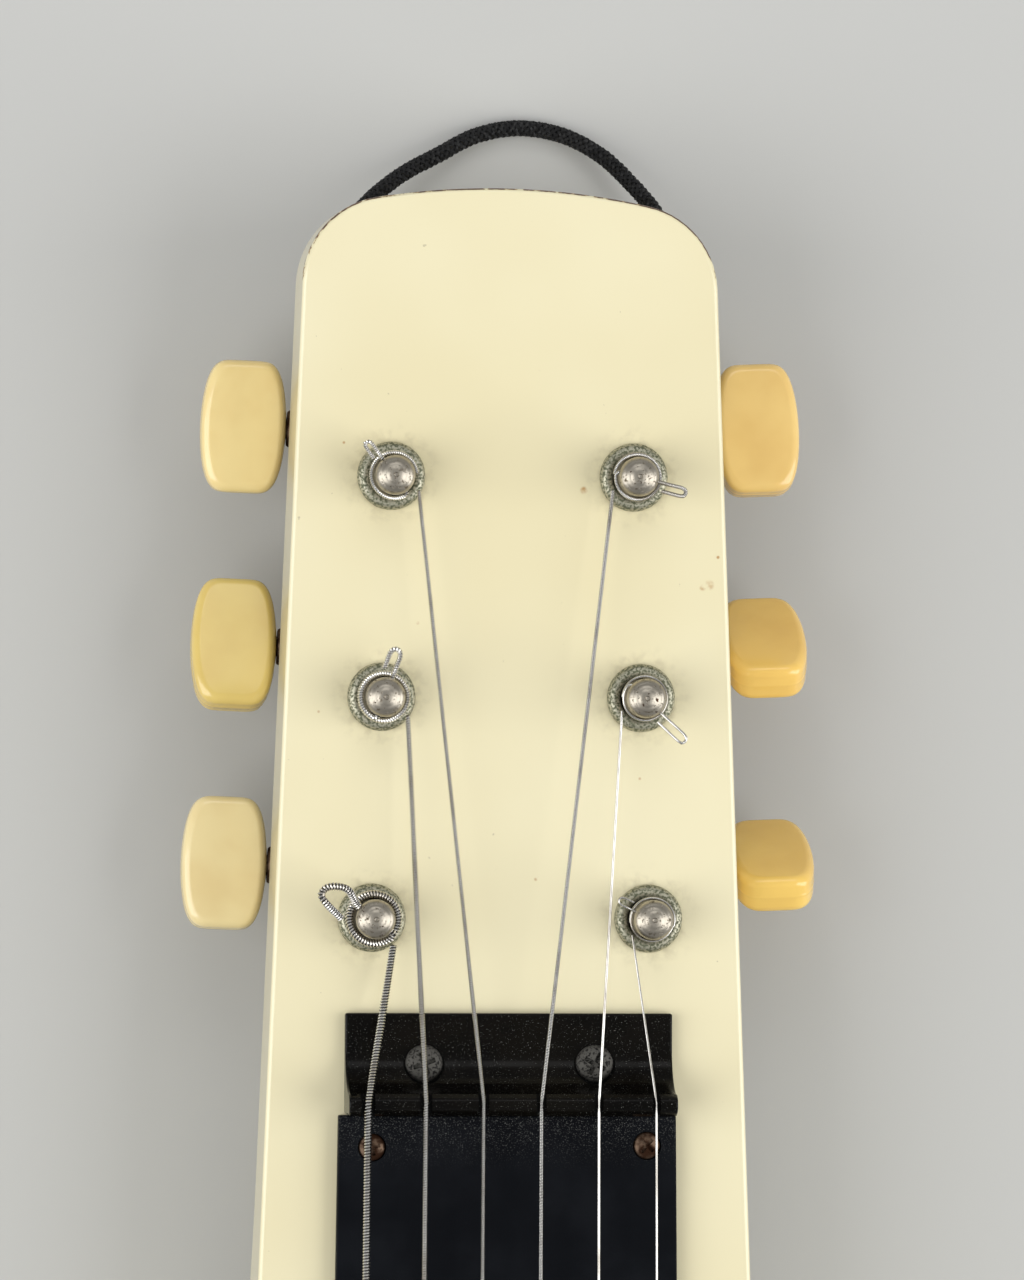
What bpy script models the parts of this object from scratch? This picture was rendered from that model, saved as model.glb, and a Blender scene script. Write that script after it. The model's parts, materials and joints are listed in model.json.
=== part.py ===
"""Six-string lap steel guitar, modelled piece by piece in metres.

The instrument lies on its back. X runs across it with the treble side at +X, Y runs
along it towards the head, and Z is up. The origin is under the middle of the outline,
on the surface that the instrument lies on.
"""
import math

import bmesh
import bpy
from mathutils import Matrix, Vector

MM = 0.001

# Clearance between pieces that seat on, or pass through, each other
SEAT_GAP = 0.25 * MM

# Whole instrument
OVERALL_LENGTH = 785.0 * MM
BODY_THICKNESS = 38.0 * MM
HEAD_THICKNESS = 16.0 * MM
BODY_HALF_WIDTH = 87.5 * MM
EDGE_ROUND = 1.25 * MM
FACE_Z = BODY_THICKNESS
HEAD_BACK_Z = FACE_Z - HEAD_THICKNESS
HEAD_END_Y = OVERALL_LENGTH / 2
TAIL_END_Y = -OVERALL_LENGTH / 2

# Scale of the strings: the nut's ridge and the bridge's saddle
NUT_TO_HEAD_END = 144.5 * MM
SCALE_LENGTH = 571.5 * MM
NUT_Y = HEAD_END_Y - NUT_TO_HEAD_END
BRIDGE_Y = NUT_Y - SCALE_LENGTH

# Head and neck outline
NUT_HALF_WIDTH = 37.55 * MM
SIDE_TAPER = 0.039
CROWN_RADIUS = 115.0 * MM
CROWN_OFFSET_X = -2.5 * MM
CORNER_RADIUS = 14.0 * MM
COVE_START_FROM_NUT = 12.0 * MM
COVE_RADIUS = 65.0 * MM

# Flare of the lower body
FLARE_START_FROM_TAIL = 322.5 * MM
WIDEST_FROM_TAIL = 130.5 * MM
FLARE_START_Y = TAIL_END_Y + FLARE_START_FROM_TAIL
WIDEST_Y = TAIL_END_Y + WIDEST_FROM_TAIL
FLARE_HANDLE_NECK = 90.0 * MM
FLARE_HANDLE_BODY = 85.0 * MM
TAIL_HANDLE_SIDE = 95.0 * MM
TAIL_HANDLE_END = 62.0 * MM

# Strings, from the first to the sixth
STRING_DIAMETERS = [0.35 * MM, 0.45 * MM, 0.65 * MM, 0.80 * MM, 1.00 * MM, 1.33 * MM]
NUT_STRING_SPAN = 45.6 * MM
BRIDGE_STRING_SPAN = 54.0 * MM
STRING_REST_HEIGHT = 10.3 * MM
STRING_COUNT = len(STRING_DIAMETERS)

# Nut: a screwed-on moulding with a cove up to its ridge
NUT_WIDTH = 52.0 * MM
NUT_CENTRE_X = 0.2 * MM
NUT_FOOT_THICKNESS = 1.8 * MM
NUT_FOOT_LENGTH = 5.2 * MM
NUT_RIDGE_HEIGHT = 11.0 * MM
NUT_HEAD_SIDE = 13.8 * MM
NUT_TAIL_SIDE = 2.1 * MM
NUT_SLOT_CLEARANCE = 0.45 * MM
NUT_SCREW_SPACING = 27.1 * MM
NUT_SCREW_FROM_RIDGE = 5.9 * MM
NUT_SCREW_RECESS_RADIUS = 3.3 * MM
NUT_SCREW_RECESS_HEIGHT = 2.0 * MM

# Fretboard
FRETBOARD_THICKNESS = 2.5 * MM
FRETBOARD_NUT_WIDTH = 53.6 * MM
FRETBOARD_TAPER = 0.0235
FRETBOARD_LAST_MARGIN = 14.0 * MM
FRET_COUNT = 24
FRET_WIDTH = 1.1 * MM
FRET_HEIGHT = 0.35 * MM

# Tuners: one row of three along each side of the head
TUNER_SPACING = 35.0 * MM
TUNER_ROW_MIDDLE = 63.8 * MM
TUNER_INSET = 14.4 * MM
TUNER_CENTRE_X = 0.4 * MM
SHAFT_DEPTH = 5.0 * MM
SHAFT_Z = HEAD_BACK_Z - SHAFT_DEPTH

# Worm and wheel
GEAR_MODULE = 0.7 * MM
WHEEL_TEETH = 14
WORM_PITCH_RADIUS = 2.3 * MM
ADDENDUM = 0.6 * MM
DEDENDUM = 0.85 * MM
TOOTH_SHARE = 0.40
FLANK_SLOPE = math.tan(math.radians(20))
WHEEL_THICKNESS = 4.4 * MM
WORM_HALF_LENGTH = 4.0 * MM
WORM_COLUMNS = 10
WHEEL_PITCH_RADIUS = GEAR_MODULE * WHEEL_TEETH / 2
THREAD_PITCH = math.pi * GEAR_MODULE
GEAR_CENTRES = WHEEL_PITCH_RADIUS + WORM_PITCH_RADIUS

# Worm shaft and its bearings
SHAFT_RADIUS = 1.6 * MM
SHAFT_INNER_END = -7.0 * MM
COLLAR_RADIUS = 2.95 * MM
COLLAR_START = 12.9 * MM
BUTTON_START = 15.6 * MM
SHAFT_IN_BUTTON = 3.2 * MM
EAR_THICKNESS = 1.2 * MM
EAR_WIDTH = 7.0 * MM
EAR_FROM_WORM = 0.5 * MM

# Tuner plate
PLATE_THICKNESS = 1.2 * MM
PLATE_INNER_SIDE = -8.6 * MM
PLATE_OUTER_SIDE = 7.6 * MM
PLATE_PAST_LAST_POST = 11.0 * MM
PLATE_PAST_FIRST_POST = 14.5 * MM
PLATE_CORNER = 3.0 * MM

# Post and ferrule
POST_RADIUS = 3.0 * MM
POST_DOME_RADIUS = 3.15 * MM
POST_FOOT_RADIUS = 2.3 * MM
POST_HEIGHT = 10.5 * MM
POST_DOME_START = 8.5 * MM
POST_HOLE_HEIGHT = 7.5 * MM
POST_SEGMENTS = 12
FERRULE_RADIUS = 5.4 * MM
FERRULE_SLEEVE_RADIUS = 4.1 * MM
FERRULE_SLEEVE_DEPTH = 6.0 * MM
FERRULE_HEIGHT = 2.1 * MM

# Button
BUTTON_LENGTH = 13.6 * MM
BUTTON_WIDTH = 21.2 * MM
BUTTON_THICKNESS = 6.2 * MM
BUTTON_EDGE = 1.5 * MM

# How the tuners were left: turn of each button, and where each string's end sticks out
BUTTON_REST_TURN = {6: 6, 5: 18, 4: 0, 3: 12, 2: 55, 1: 62}
STUB_DIRECTION = {6: 144, 5: 70, 4: 127, 3: -14, 2: -43.6, 1: 155}
STUB_REACH = {6: 10.3 * MM, 5: 7.6 * MM, 4: 6.8 * MM, 3: 7.8 * MM, 2: 9.0 * MM, 1: 6.2 * MM}
EXTRA_TURNS = {6: 1, 5: 1, 4: 0, 3: 1, 2: 1, 1: 1}
# A folded end rises over the neighbouring string, so that it clears it when the post turns
STUB_RISE = {6: 3.5 * MM, 5: 0.6 * MM, 4: 0.6 * MM, 3: 0.3 * MM, 2: 1.7 * MM, 1: 0.3 * MM}
STUB_FOLD = {6: 3.0 * MM, 5: 1.7 * MM, 4: 1.4 * MM, 3: 1.3 * MM, 2: 1.4 * MM, 1: 1.2 * MM}
TURN_GAP = 0.55 * MM
POINTS_PER_TURN = 14

# Bridge: a casting like the nut, with a wall that anchors the strings
BRIDGE_WIDTH = 66.0 * MM
BRIDGE_FRONT = 13.0 * MM
BRIDGE_PLATE_THICKNESS = 3.0 * MM
BRIDGE_RIDGE_HEIGHT = 10.2 * MM
BRIDGE_WALL_START = 15.5 * MM
BRIDGE_WALL_THICKNESS = 2.6 * MM
BRIDGE_WALL_HEIGHT = 8.6 * MM
ANCHOR_HEIGHT = 5.6 * MM
STRING_PAST_WALL = 2.2 * MM

# Pickup
PICKUP_FROM_BRIDGE = 51.5 * MM
PICKUP_Y = BRIDGE_Y + PICKUP_FROM_BRIDGE
PICKUP_COVER_SIZE = (74.0 * MM, 26.0 * MM, 8.4 * MM)
PICKUP_FLANGE_SIZE = (84.0 * MM, 32.0 * MM, 1.5 * MM)
PICKUP_WALL = 1.2 * MM
COIL_LENGTH = 62.0 * MM
COIL_WIDTH = 15.0 * MM
COIL_FLANGE = 1.2 * MM
COIL_WAIST = 1.8 * MM
COIL_DEPTH_IN_BODY = 9.0 * MM
PICKUP_POCKET_DEPTH = 9.25 * MM

# Controls: a plate on the treble side with two knobs and the jack
CONTROL_X = 61.0 * MM
CONTROLS_FROM_BRIDGE = 61.5 * MM
CONTROL_Y = BRIDGE_Y + CONTROLS_FROM_BRIDGE
CONTROL_PLATE_SIZE = (32.0 * MM, 112.0 * MM, 1.4 * MM)
CONTROL_PLATE_CORNER = 5.0 * MM
CONTROL_POCKET_MARGIN = 4.5 * MM
CONTROL_POCKET_DEPTH = 30.0 * MM
VOLUME_OFFSET = 36.0 * MM
TONE_OFFSET = 2.0 * MM
JACK_OFFSET = -35.0 * MM
POT_RADIUS = 8.5 * MM
POT_DEPTH = 10.0 * MM
BUSHING_RADIUS = 4.3 * MM
BUSHING_HEIGHT = 4.6 * MM
POT_SHAFT_RADIUS = 3.0 * MM
POT_SHAFT_HEIGHT = 12.4 * MM
KNOB_RADIUS = 10.5 * MM
KNOB_TOP_RADIUS = 9.0 * MM
KNOB_HEIGHT = 14.5 * MM
KNOB_FLUTES = 12
KNOB_FLUTE_DEPTH = 0.7 * MM
JACK_BORE_RADIUS = 3.35 * MM
JACK_BORE_DEPTH = 24.0 * MM
JACK_CASE_RADIUS = 7.5 * MM
JACK_BUSHING_RADIUS = 4.9 * MM
JACK_BUSHING_HEIGHT = 3.0 * MM
JACK_FLOOR = 1.6 * MM

# Hanging cord, threaded through a strap bracket on the back of the head
CORD_DIAMETER = 2.8 * MM
BRACKET_FROM_HEAD_END = 24.5 * MM
BRACKET_LENGTH = 19.0 * MM
BRACKET_TAB = 6.0 * MM
BRACKET_THICKNESS = 1.1 * MM
BRACKET_CHANNEL = 5.0 * MM
BRACKET_RISE = 4.0 * MM

# Finishes: colour, roughness, metallic
FINISHES = {
    "cream_paint": ((0.89, 0.81, 0.55), 0.35, 0.0),
    "black_gloss": ((0.006, 0.005, 0.004), 0.12, 0.0),
    "black_board": ((0.010, 0.011, 0.013), 0.55, 0.0),
    "cream_plastic": ((0.80, 0.63, 0.30), 0.25, 0.0),
    "worn_nickel": ((0.38, 0.36, 0.30), 0.45, 1.0),
    "grey_zinc": ((0.36, 0.38, 0.33), 0.60, 0.8),
    "brass_wheel": ((0.60, 0.42, 0.17), 0.40, 1.0),
    "string_steel": ((0.55, 0.54, 0.52), 0.30, 1.0),
    "chrome": ((0.62, 0.62, 0.63), 0.12, 1.0),
    "coil_black": ((0.012, 0.010, 0.009), 0.45, 0.0),
    "cord_black": ((0.012, 0.012, 0.012), 0.85, 0.0),
}


def clear_objects():
    """Empty the scene."""
    for obj in list(bpy.data.objects):
        bpy.data.objects.remove(obj, do_unlink=True)


def finish(name):
    """The named finish as a Principled material, made once."""
    material = bpy.data.materials.get(name)
    if material:
        return material
    colour, roughness, metallic = FINISHES[name]
    material = bpy.data.materials.new(name)
    material.use_nodes = True
    shader = material.node_tree.nodes["Principled BSDF"]
    shader.inputs["Base Color"].default_value = (*colour, 1.0)
    shader.inputs["Roughness"].default_value = roughness
    shader.inputs["Metallic"].default_value = metallic
    material.diffuse_color = (*colour, 1.0)
    return material


def place(name, bm, finish_name, matrix=None, smooth_angle=35):
    """Turn a bmesh into the named object, with its faces pointing out."""
    bmesh.ops.recalc_face_normals(bm, faces=bm.faces)
    mesh = bpy.data.meshes.new(name)
    bm.to_mesh(mesh)
    bm.free()
    mesh.shade_smooth()
    mesh.set_sharp_from_angle(angle=math.radians(smooth_angle))
    obj = bpy.data.objects.new(name, mesh)
    mesh.materials.append(finish(finish_name))
    bpy.context.scene.collection.objects.link(obj)
    if matrix is not None:
        obj.matrix_world = matrix
    return obj


def helper(name, bm, matrix=None):
    """An object that only shapes others, left out of the model."""
    obj = place(name, bm, "cream_paint", matrix)
    obj.hide_render = True
    obj.display_type = "WIRE"
    return obj


def combine(target, tool, operation="DIFFERENCE"):
    """Add an exact Boolean of the tool to the target."""
    modifier = target.modifiers.new(tool.name, "BOOLEAN")
    modifier.object = tool
    modifier.operation = operation
    modifier.solver = "EXACT"


def turned(profile, segments, closed=False):
    """Spin (radius, height) points about Z: from axis to axis, or a closed ring."""
    bm = bmesh.new()
    verts = [bm.verts.new((radius, 0, height)) for radius, height in profile]
    edges = [bm.edges.new(pair) for pair in zip(verts, verts[1:])]
    if closed:
        edges.append(bm.edges.new((verts[-1], verts[0])))
    bmesh.ops.spin(bm, geom=verts + edges, cent=(0, 0, 0), axis=(0, 0, 1),
                   angle=2 * math.pi, steps=segments, use_merge=True)
    bmesh.ops.remove_doubles(bm, verts=bm.verts, dist=0.001 * MM)
    bmesh.ops.dissolve_degenerate(bm, edges=bm.edges, dist=0.001 * MM)
    return bm


def extruded(outline, depth):
    """Extrude a closed outline of 3-D points by a vector."""
    bm = bmesh.new()
    face = bm.faces.new([bm.verts.new(point) for point in outline])
    result = bmesh.ops.extrude_face_region(bm, geom=[face])
    moved = [item for item in result["geom"] if isinstance(item, bmesh.types.BMVert)]
    bmesh.ops.translate(bm, verts=moved, vec=depth)
    return bm


def lofted(rings):
    """Skin rings that have the same number of points, and close both ends."""
    bm = bmesh.new()
    loops = [[bm.verts.new(point) for point in ring] for ring in rings]
    count = len(loops[0])
    for lower, upper in zip(loops, loops[1:]):
        for i in range(count):
            j = (i + 1) % count
            bm.faces.new((lower[i], lower[j], upper[j], upper[i]))
    bm.faces.new(loops[0][::-1])
    bm.faces.new(loops[-1])
    return bm


def add_cylinder(bm, radius, start, end, segments):
    """Add a cylinder between two points to a bmesh."""
    start = Vector(start)
    axis = Vector(end) - start
    turn = axis.to_track_quat("Z", "Y").to_matrix().to_4x4()
    matrix = Matrix.Translation(start + axis / 2) @ turn
    bmesh.ops.create_cone(bm, cap_ends=True, segments=segments, radius1=radius,
                          radius2=radius, depth=axis.length, matrix=matrix)


def add_box(bm, low, high):
    """Add a box between two corners to a bmesh."""
    low = Vector(low)
    high = Vector(high)
    matrix = Matrix.Translation((low + high) / 2) @ Matrix.Diagonal((*(high - low), 1))
    bmesh.ops.create_cube(bm, size=1, matrix=matrix)


def arc(centre, radius, start, end, steps):
    """Points on an arc in a plane, both ends included; the angles are in degrees."""
    points = []
    for i in range(steps + 1):
        angle = math.radians(start + (end - start) * i / steps)
        points.append((centre[0] + radius * math.cos(angle),
                       centre[1] + radius * math.sin(angle)))
    return points


def bezier(p0, p1, p2, p3, steps):
    """Points on a cubic Bezier curve in a plane, after its first point."""
    points = []
    for i in range(1, steps + 1):
        t = i / steps
        s = 1 - t
        points.append(tuple(s ** 3 * a + 3 * s * s * t * b + 3 * s * t * t * c + t ** 3 * d
                            for a, b, c, d in zip(p0, p1, p2, p3)))
    return points


def rounded_rectangle(width, length, radius, steps=3):
    """Corner arcs of a rectangle centred on the origin, anticlockwise."""
    x = width / 2 - radius
    y = length / 2 - radius
    corners = [((x, y), 0), ((-x, y), 90), ((-x, -y), 180), ((x, -y), 270)]
    points = []
    for centre, start in corners:
        points += arc(centre, radius, start, start + 90, steps)
    return points


def at_height(points, height):
    """Plane points as 3-D points at one height."""
    return [(x, y, height) for x, y in points]


def tube(name, points, radius, finish_name, bevel_resolution=1):
    """A tube along chosen points, with closed ends."""
    curve = bpy.data.curves.new(name, "CURVE")
    curve.dimensions = "3D"
    curve.bevel_depth = radius
    curve.bevel_resolution = bevel_resolution
    curve.use_fill_caps = True
    spline = curve.splines.new("POLY")
    spline.points.add(len(points) - 1)
    for target, point in zip(spline.points, points):
        target.co = (*point, 1.0)
    obj = bpy.data.objects.new(name, curve)
    curve.materials.append(finish(finish_name))
    bpy.context.scene.collection.objects.link(obj)
    return obj


def half_width(y):
    """Half the width of the straight-tapered head and neck at a place along it."""
    return NUT_HALF_WIDTH - SIDE_TAPER * (y - NUT_Y)


def corner_centre(side):
    """Centre of the head's corner arc, tangent to the crown and to one side."""
    lean = math.hypot(1, SIDE_TAPER)
    inset = NUT_HALF_WIDTH + SIDE_TAPER * NUT_Y - CORNER_RADIUS * lean
    crown_y = HEAD_END_Y - CROWN_RADIUS
    reach = CROWN_RADIUS - CORNER_RADIUS
    offset = inset - side * CROWN_OFFSET_X
    # (offset - taper * y)^2 + (y - crown_y)^2 = reach^2
    a = 1 + SIDE_TAPER ** 2
    b = -2 * (offset * SIDE_TAPER + crown_y)
    c = offset ** 2 + crown_y ** 2 - reach ** 2
    y = (-b + math.sqrt(b * b - 4 * a * c)) / (2 * a)
    return Vector((side * (inset - SIDE_TAPER * y), y))


def body_outline():
    """Outline of the wooden body seen from above, anticlockwise from the treble corner."""
    lean = math.degrees(math.atan(SIDE_TAPER))
    crown_centre = Vector((CROWN_OFFSET_X, HEAD_END_Y - CROWN_RADIUS))
    right = corner_centre(1)
    left = corner_centre(-1)
    right_join = math.degrees(math.atan2(*(right - crown_centre).yx))
    left_join = math.degrees(math.atan2(*(left - crown_centre).yx))
    points = arc(right, CORNER_RADIUS, lean, right_join, 5)
    points += arc(crown_centre, CROWN_RADIUS, right_join, left_join, 8)[1:-1]
    points += arc(left, CORNER_RADIUS, left_join, 180 - lean, 5)
    neck = half_width(FLARE_START_Y)
    flare = bezier((neck, FLARE_START_Y),
                   (neck + SIDE_TAPER * FLARE_HANDLE_NECK, FLARE_START_Y - FLARE_HANDLE_NECK),
                   (BODY_HALF_WIDTH, WIDEST_Y + FLARE_HANDLE_BODY),
                   (BODY_HALF_WIDTH, WIDEST_Y), 9)
    tail = bezier((BODY_HALF_WIDTH, WIDEST_Y),
                  (BODY_HALF_WIDTH, WIDEST_Y - TAIL_HANDLE_SIDE),
                  (TAIL_HANDLE_END, TAIL_END_Y),
                  (0, TAIL_END_Y), 9)
    side = [(neck, FLARE_START_Y)] + flare + tail
    points += [(-x, y) for x, y in side]
    points += side[-2::-1]
    return points


def cove_cutter():
    """Cutter that thins the head and sweeps down to the back in a cove."""
    start_y = NUT_Y - COVE_START_FROM_NUT
    drop = HEAD_BACK_Z
    sweep = math.degrees(math.acos((COVE_RADIUS - drop) / COVE_RADIUS))
    below = 6 * MM
    past_head = 10 * MM
    half_span = BODY_HALF_WIDTH
    curve = arc((start_y, HEAD_BACK_Z - COVE_RADIUS), COVE_RADIUS, 90, 90 + sweep, 7)
    profile = [(HEAD_END_Y + past_head, -below), (HEAD_END_Y + past_head, HEAD_BACK_Z)]
    profile += curve
    profile.append((curve[-1][0], -below))
    return extruded([(-half_span, y, z) for y, z in profile], (2 * half_span, 0, 0))


def tuner_matrix(number):
    """Frame of one tuner: origin on its post's axis at shaft level, X out to its button."""
    side = 1 if number <= 3 else -1
    place_in_row = {1: -1, 2: 0, 3: 1, 6: -1, 5: 0, 4: 1}[number]
    lean = math.atan(SIDE_TAPER)
    along = Vector((-side * math.sin(lean), math.cos(lean), 0))
    out = Vector((side * math.cos(lean), math.sin(lean), 0))
    middle_y = NUT_Y + TUNER_ROW_MIDDLE
    middle_x = half_width(middle_y) - TUNER_INSET / math.cos(lean)
    middle = Vector((TUNER_CENTRE_X + side * middle_x, middle_y, SHAFT_Z))
    origin = middle + along * TUNER_SPACING * place_in_row
    across = Vector((0, 0, 1)).cross(out)
    matrix = Matrix((out, across, (0, 0, 1))).transposed().to_4x4()
    matrix.translation = origin
    return matrix, side


def build_body():
    """Solid wooden body, neck and head, with its bores and pockets."""
    bm = extruded(at_height(body_outline(), 0), (0, 0, BODY_THICKNESS))
    body = place("body", bm, "cream_paint")
    combine(body, helper("cut_head_cove", cove_cutter()))
    bevel = body.modifiers.new("edge_round", "BEVEL")
    bevel.width = EDGE_ROUND
    bevel.segments = 2
    bevel.limit_method = "ANGLE"
    bevel.angle_limit = math.radians(40)

    cut = bmesh.new()
    above = 5 * MM
    bore = FERRULE_SLEEVE_RADIUS + SEAT_GAP
    for number in range(1, STRING_COUNT + 1):
        matrix, _ = tuner_matrix(number)
        x, y, _ = matrix.translation
        add_cylinder(cut, bore, (x, y, HEAD_BACK_Z - above), (x, y, FACE_Z + above), 14)
    half_coil = COIL_LENGTH / 2 + 2 * SEAT_GAP
    half_coil_width = COIL_WIDTH / 2 + 2 * SEAT_GAP
    add_box(cut, (-half_coil, PICKUP_Y - half_coil_width, FACE_Z - PICKUP_POCKET_DEPTH),
            (half_coil, PICKUP_Y + half_coil_width, FACE_Z + above))
    half_w = CONTROL_PLATE_SIZE[0] / 2 - CONTROL_POCKET_MARGIN
    half_l = CONTROL_PLATE_SIZE[1] / 2 - CONTROL_POCKET_MARGIN
    add_box(cut, (CONTROL_X - half_w, CONTROL_Y - half_l, FACE_Z - CONTROL_POCKET_DEPTH),
            (CONTROL_X + half_w, CONTROL_Y + half_l, FACE_Z + above))
    combine(body, helper("cut_bores_and_pockets", cut))


def string_x(number, span):
    """Place across the instrument of one string, where the strings span a width."""
    return span * (0.5 - (number - 1) / (STRING_COUNT - 1))


def post_centre(number):
    """Axis of one post, seen from above."""
    matrix, side = tuner_matrix(number)
    return matrix.translation.to_2d(), side


def wrap_rise(angle, turn, radius):
    """Height gained after an angle of the winding, whose last half turn climbs twice as fast."""
    pitch = 2 * radius + TURN_GAP
    steep = max(0.0, angle - (turn - 180))
    return (angle + steep) / 360 * pitch


def wrap_plan(number):
    """How one string winds on its post: radius, turns, heights and angles in degrees."""
    radius = STRING_DIAMETERS[number - 1] / 2
    centre, side = post_centre(number)
    wrap_radius = POST_RADIUS + SEAT_GAP + radius
    nut_point = Vector((string_x(number, NUT_STRING_SPAN), NUT_Y))
    to_nut = nut_point - centre
    bearing = math.degrees(math.atan2(to_nut.y, to_nut.x))
    opening = math.degrees(math.acos(wrap_radius / to_nut.length))
    # The string leaves on the side towards the middle of the head
    leave = bearing - side * opening
    hole = STUB_DIRECTION[number] + 180
    turn = (-side * (hole - leave)) % 360 + 360 * EXTRA_TURNS[number]
    rise = wrap_rise(turn, turn, radius)
    return {"radius": radius, "wrap_radius": wrap_radius, "leave": leave,
            "sweep": -side * turn, "hole": math.radians(hole),
            "leave_height": POST_HOLE_HEIGHT - rise, "centre": centre,
            "nut_point": nut_point, "side": side}


def on_circle(centre, radius, degrees):
    """Point on a circle, seen from above."""
    angle = math.radians(degrees)
    return centre + radius * Vector((math.cos(angle), math.sin(angle)))


def string_slope(number):
    """How fast one string falls from the nut to its post, and its height on the nut."""
    plan = wrap_plan(number)
    top = STRING_REST_HEIGHT + plan["radius"]
    tangent = on_circle(plan["centre"], plan["wrap_radius"], plan["leave"])
    run = (tangent - plan["nut_point"]).length
    return (top - plan["leave_height"]) / run, top


def build_nut():
    """Nut with its cove, six string slots and two screw recesses."""
    foot = NUT_FOOT_THICKNESS
    top = NUT_RIDGE_HEIGHT
    head_side = NUT_Y + NUT_HEAD_SIDE
    tail_side = NUT_Y - NUT_TAIL_SIDE
    cove_end = NUT_Y + 1.4 * MM
    cove_start = head_side - NUT_FOOT_LENGTH
    cove_rise = top - 1.2 * MM - foot
    cove_run = cove_start - cove_end
    cove = [(cove_start - cove_run * math.sin(math.radians(a)),
             foot + cove_rise * (1 - math.cos(math.radians(a)))) for a in (0, 25, 48, 68, 90)]
    profile = [(head_side, 0), (head_side, foot)] + cove
    profile += [(NUT_Y + 0.6 * MM, top - 0.2 * MM), (NUT_Y - 0.6 * MM, top),
                (NUT_Y - 1.5 * MM, top - 0.5 * MM), (tail_side, top - 1.6 * MM), (tail_side, 0)]
    base = FACE_Z + SEAT_GAP
    low_x = NUT_CENTRE_X - NUT_WIDTH / 2
    bm = extruded([(low_x, y, base + z) for y, z in profile], (NUT_WIDTH, 0, 0))
    nut = place("nut", bm, "black_gloss")

    cut = bmesh.new()
    above = 5 * MM
    reach = 2.4 * MM
    for number in range(1, STRING_COUNT + 1):
        slope, _ = string_slope(number)
        x = string_x(number, NUT_STRING_SPAN)
        half = STRING_DIAMETERS[number - 1] / 2 + NUT_SLOT_CLEARANCE
        floor = FACE_Z + STRING_REST_HEIGHT - SEAT_GAP - slope * reach
        add_box(cut, (x - half, tail_side - above, floor),
                (x + half, NUT_Y + 2 * reach, FACE_Z + top + above))
    for side in (-1, 1):
        x = NUT_CENTRE_X + side * NUT_SCREW_SPACING / 2
        y = NUT_Y + NUT_SCREW_FROM_RIDGE
        add_cylinder(cut, NUT_SCREW_RECESS_RADIUS, (x, y, base + NUT_SCREW_RECESS_HEIGHT),
                     (x, y, FACE_Z + NUT_RIDGE_HEIGHT - 2.0 * MM), 14)
    combine(nut, helper("cut_nut_slots", cut))


def fret_y(number):
    """Place of one fret along the instrument, by equal temperament."""
    return NUT_Y - SCALE_LENGTH * (1 - 2 ** (-number / 12))


def build_fretboard():
    """Thin tapered fretboard with a raised line at each fret."""
    start = NUT_Y - NUT_TAIL_SIDE - SEAT_GAP
    end = fret_y(FRET_COUNT) - FRETBOARD_LAST_MARGIN
    base = FACE_Z + SEAT_GAP
    top = base + FRETBOARD_THICKNESS
    profile = [(start, base), (start, top)]
    for number in range(1, FRET_COUNT + 1):
        y = fret_y(number)
        profile += [(y + FRET_WIDTH / 2, top), (y + FRET_WIDTH / 4, top + FRET_HEIGHT),
                    (y - FRET_WIDTH / 4, top + FRET_HEIGHT), (y - FRET_WIDTH / 2, top)]
    profile += [(end, top), (end, base)]
    bm = extruded([(-0.5, y, z) for y, z in profile], (1, 0, 0))
    for vert in bm.verts:
        width = FRETBOARD_NUT_WIDTH + FRETBOARD_TAPER * (start - vert.co.y)
        vert.co.x *= width
    place("fretboard", bm, "black_board")


def build_tuner_plate(name, numbers):
    """Steel plate of one row, with two bearing ears at each worm shaft."""
    middle, side = tuner_matrix(numbers[1])
    top = HEAD_BACK_Z - SEAT_GAP - SHAFT_Z
    bottom = top - PLATE_THICKNESS
    # Along the row, the local Y of the treble side points to the head, and the bass side's away
    head_side = side * (TUNER_SPACING + PLATE_PAST_FIRST_POST)
    tail_side = -side * (TUNER_SPACING + PLATE_PAST_LAST_POST)
    width = PLATE_OUTER_SIDE - PLATE_INNER_SIDE
    length = abs(head_side - tail_side)
    shift = Vector(((PLATE_OUTER_SIDE + PLATE_INNER_SIDE) / 2, (head_side + tail_side) / 2))
    outline = [(x + shift.x, y + shift.y)
               for x, y in rounded_rectangle(width, length, PLATE_CORNER)]
    plate = place(name, extruded(at_height(outline, bottom), (0, 0, PLATE_THICKNESS)),
                  "worn_nickel", middle)

    ears = bmesh.new()
    cut = bmesh.new()
    inner = WORM_HALF_LENGTH + EAR_FROM_WORM
    for step in (-1, 0, 1):
        post_y = step * TUNER_SPACING
        shaft_y = post_y + side * GEAR_CENTRES
        for low in (-inner - EAR_THICKNESS, inner):
            shape = [(shaft_y + EAR_WIDTH / 2, bottom + PLATE_THICKNESS / 2)]
            shape += arc((shaft_y, 0), EAR_WIDTH / 2, 0, -180, 4)
            shape += [(shaft_y - EAR_WIDTH / 2, bottom + PLATE_THICKNESS / 2)]
            part = extruded([(low, y, z) for y, z in shape], (EAR_THICKNESS, 0, 0))
            bmesh.ops.recalc_face_normals(part, faces=part.faces)
            mesh = bpy.data.meshes.new("ear")
            part.to_mesh(mesh)
            part.free()
            ears.from_mesh(mesh)
            bpy.data.meshes.remove(mesh)
        reach = inner + 3 * EAR_THICKNESS
        add_cylinder(cut, SHAFT_RADIUS + SEAT_GAP, (-reach, shaft_y, 0), (reach, shaft_y, 0), 10)
        add_cylinder(cut, POST_RADIUS + SEAT_GAP, (0, post_y, bottom - 2 * MM),
                     (0, post_y, top + 2 * MM), 12)
    combine(plate, helper(name + "_ears", ears, middle), "UNION")
    combine(plate, helper(name + "_bores", cut, middle))


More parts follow.
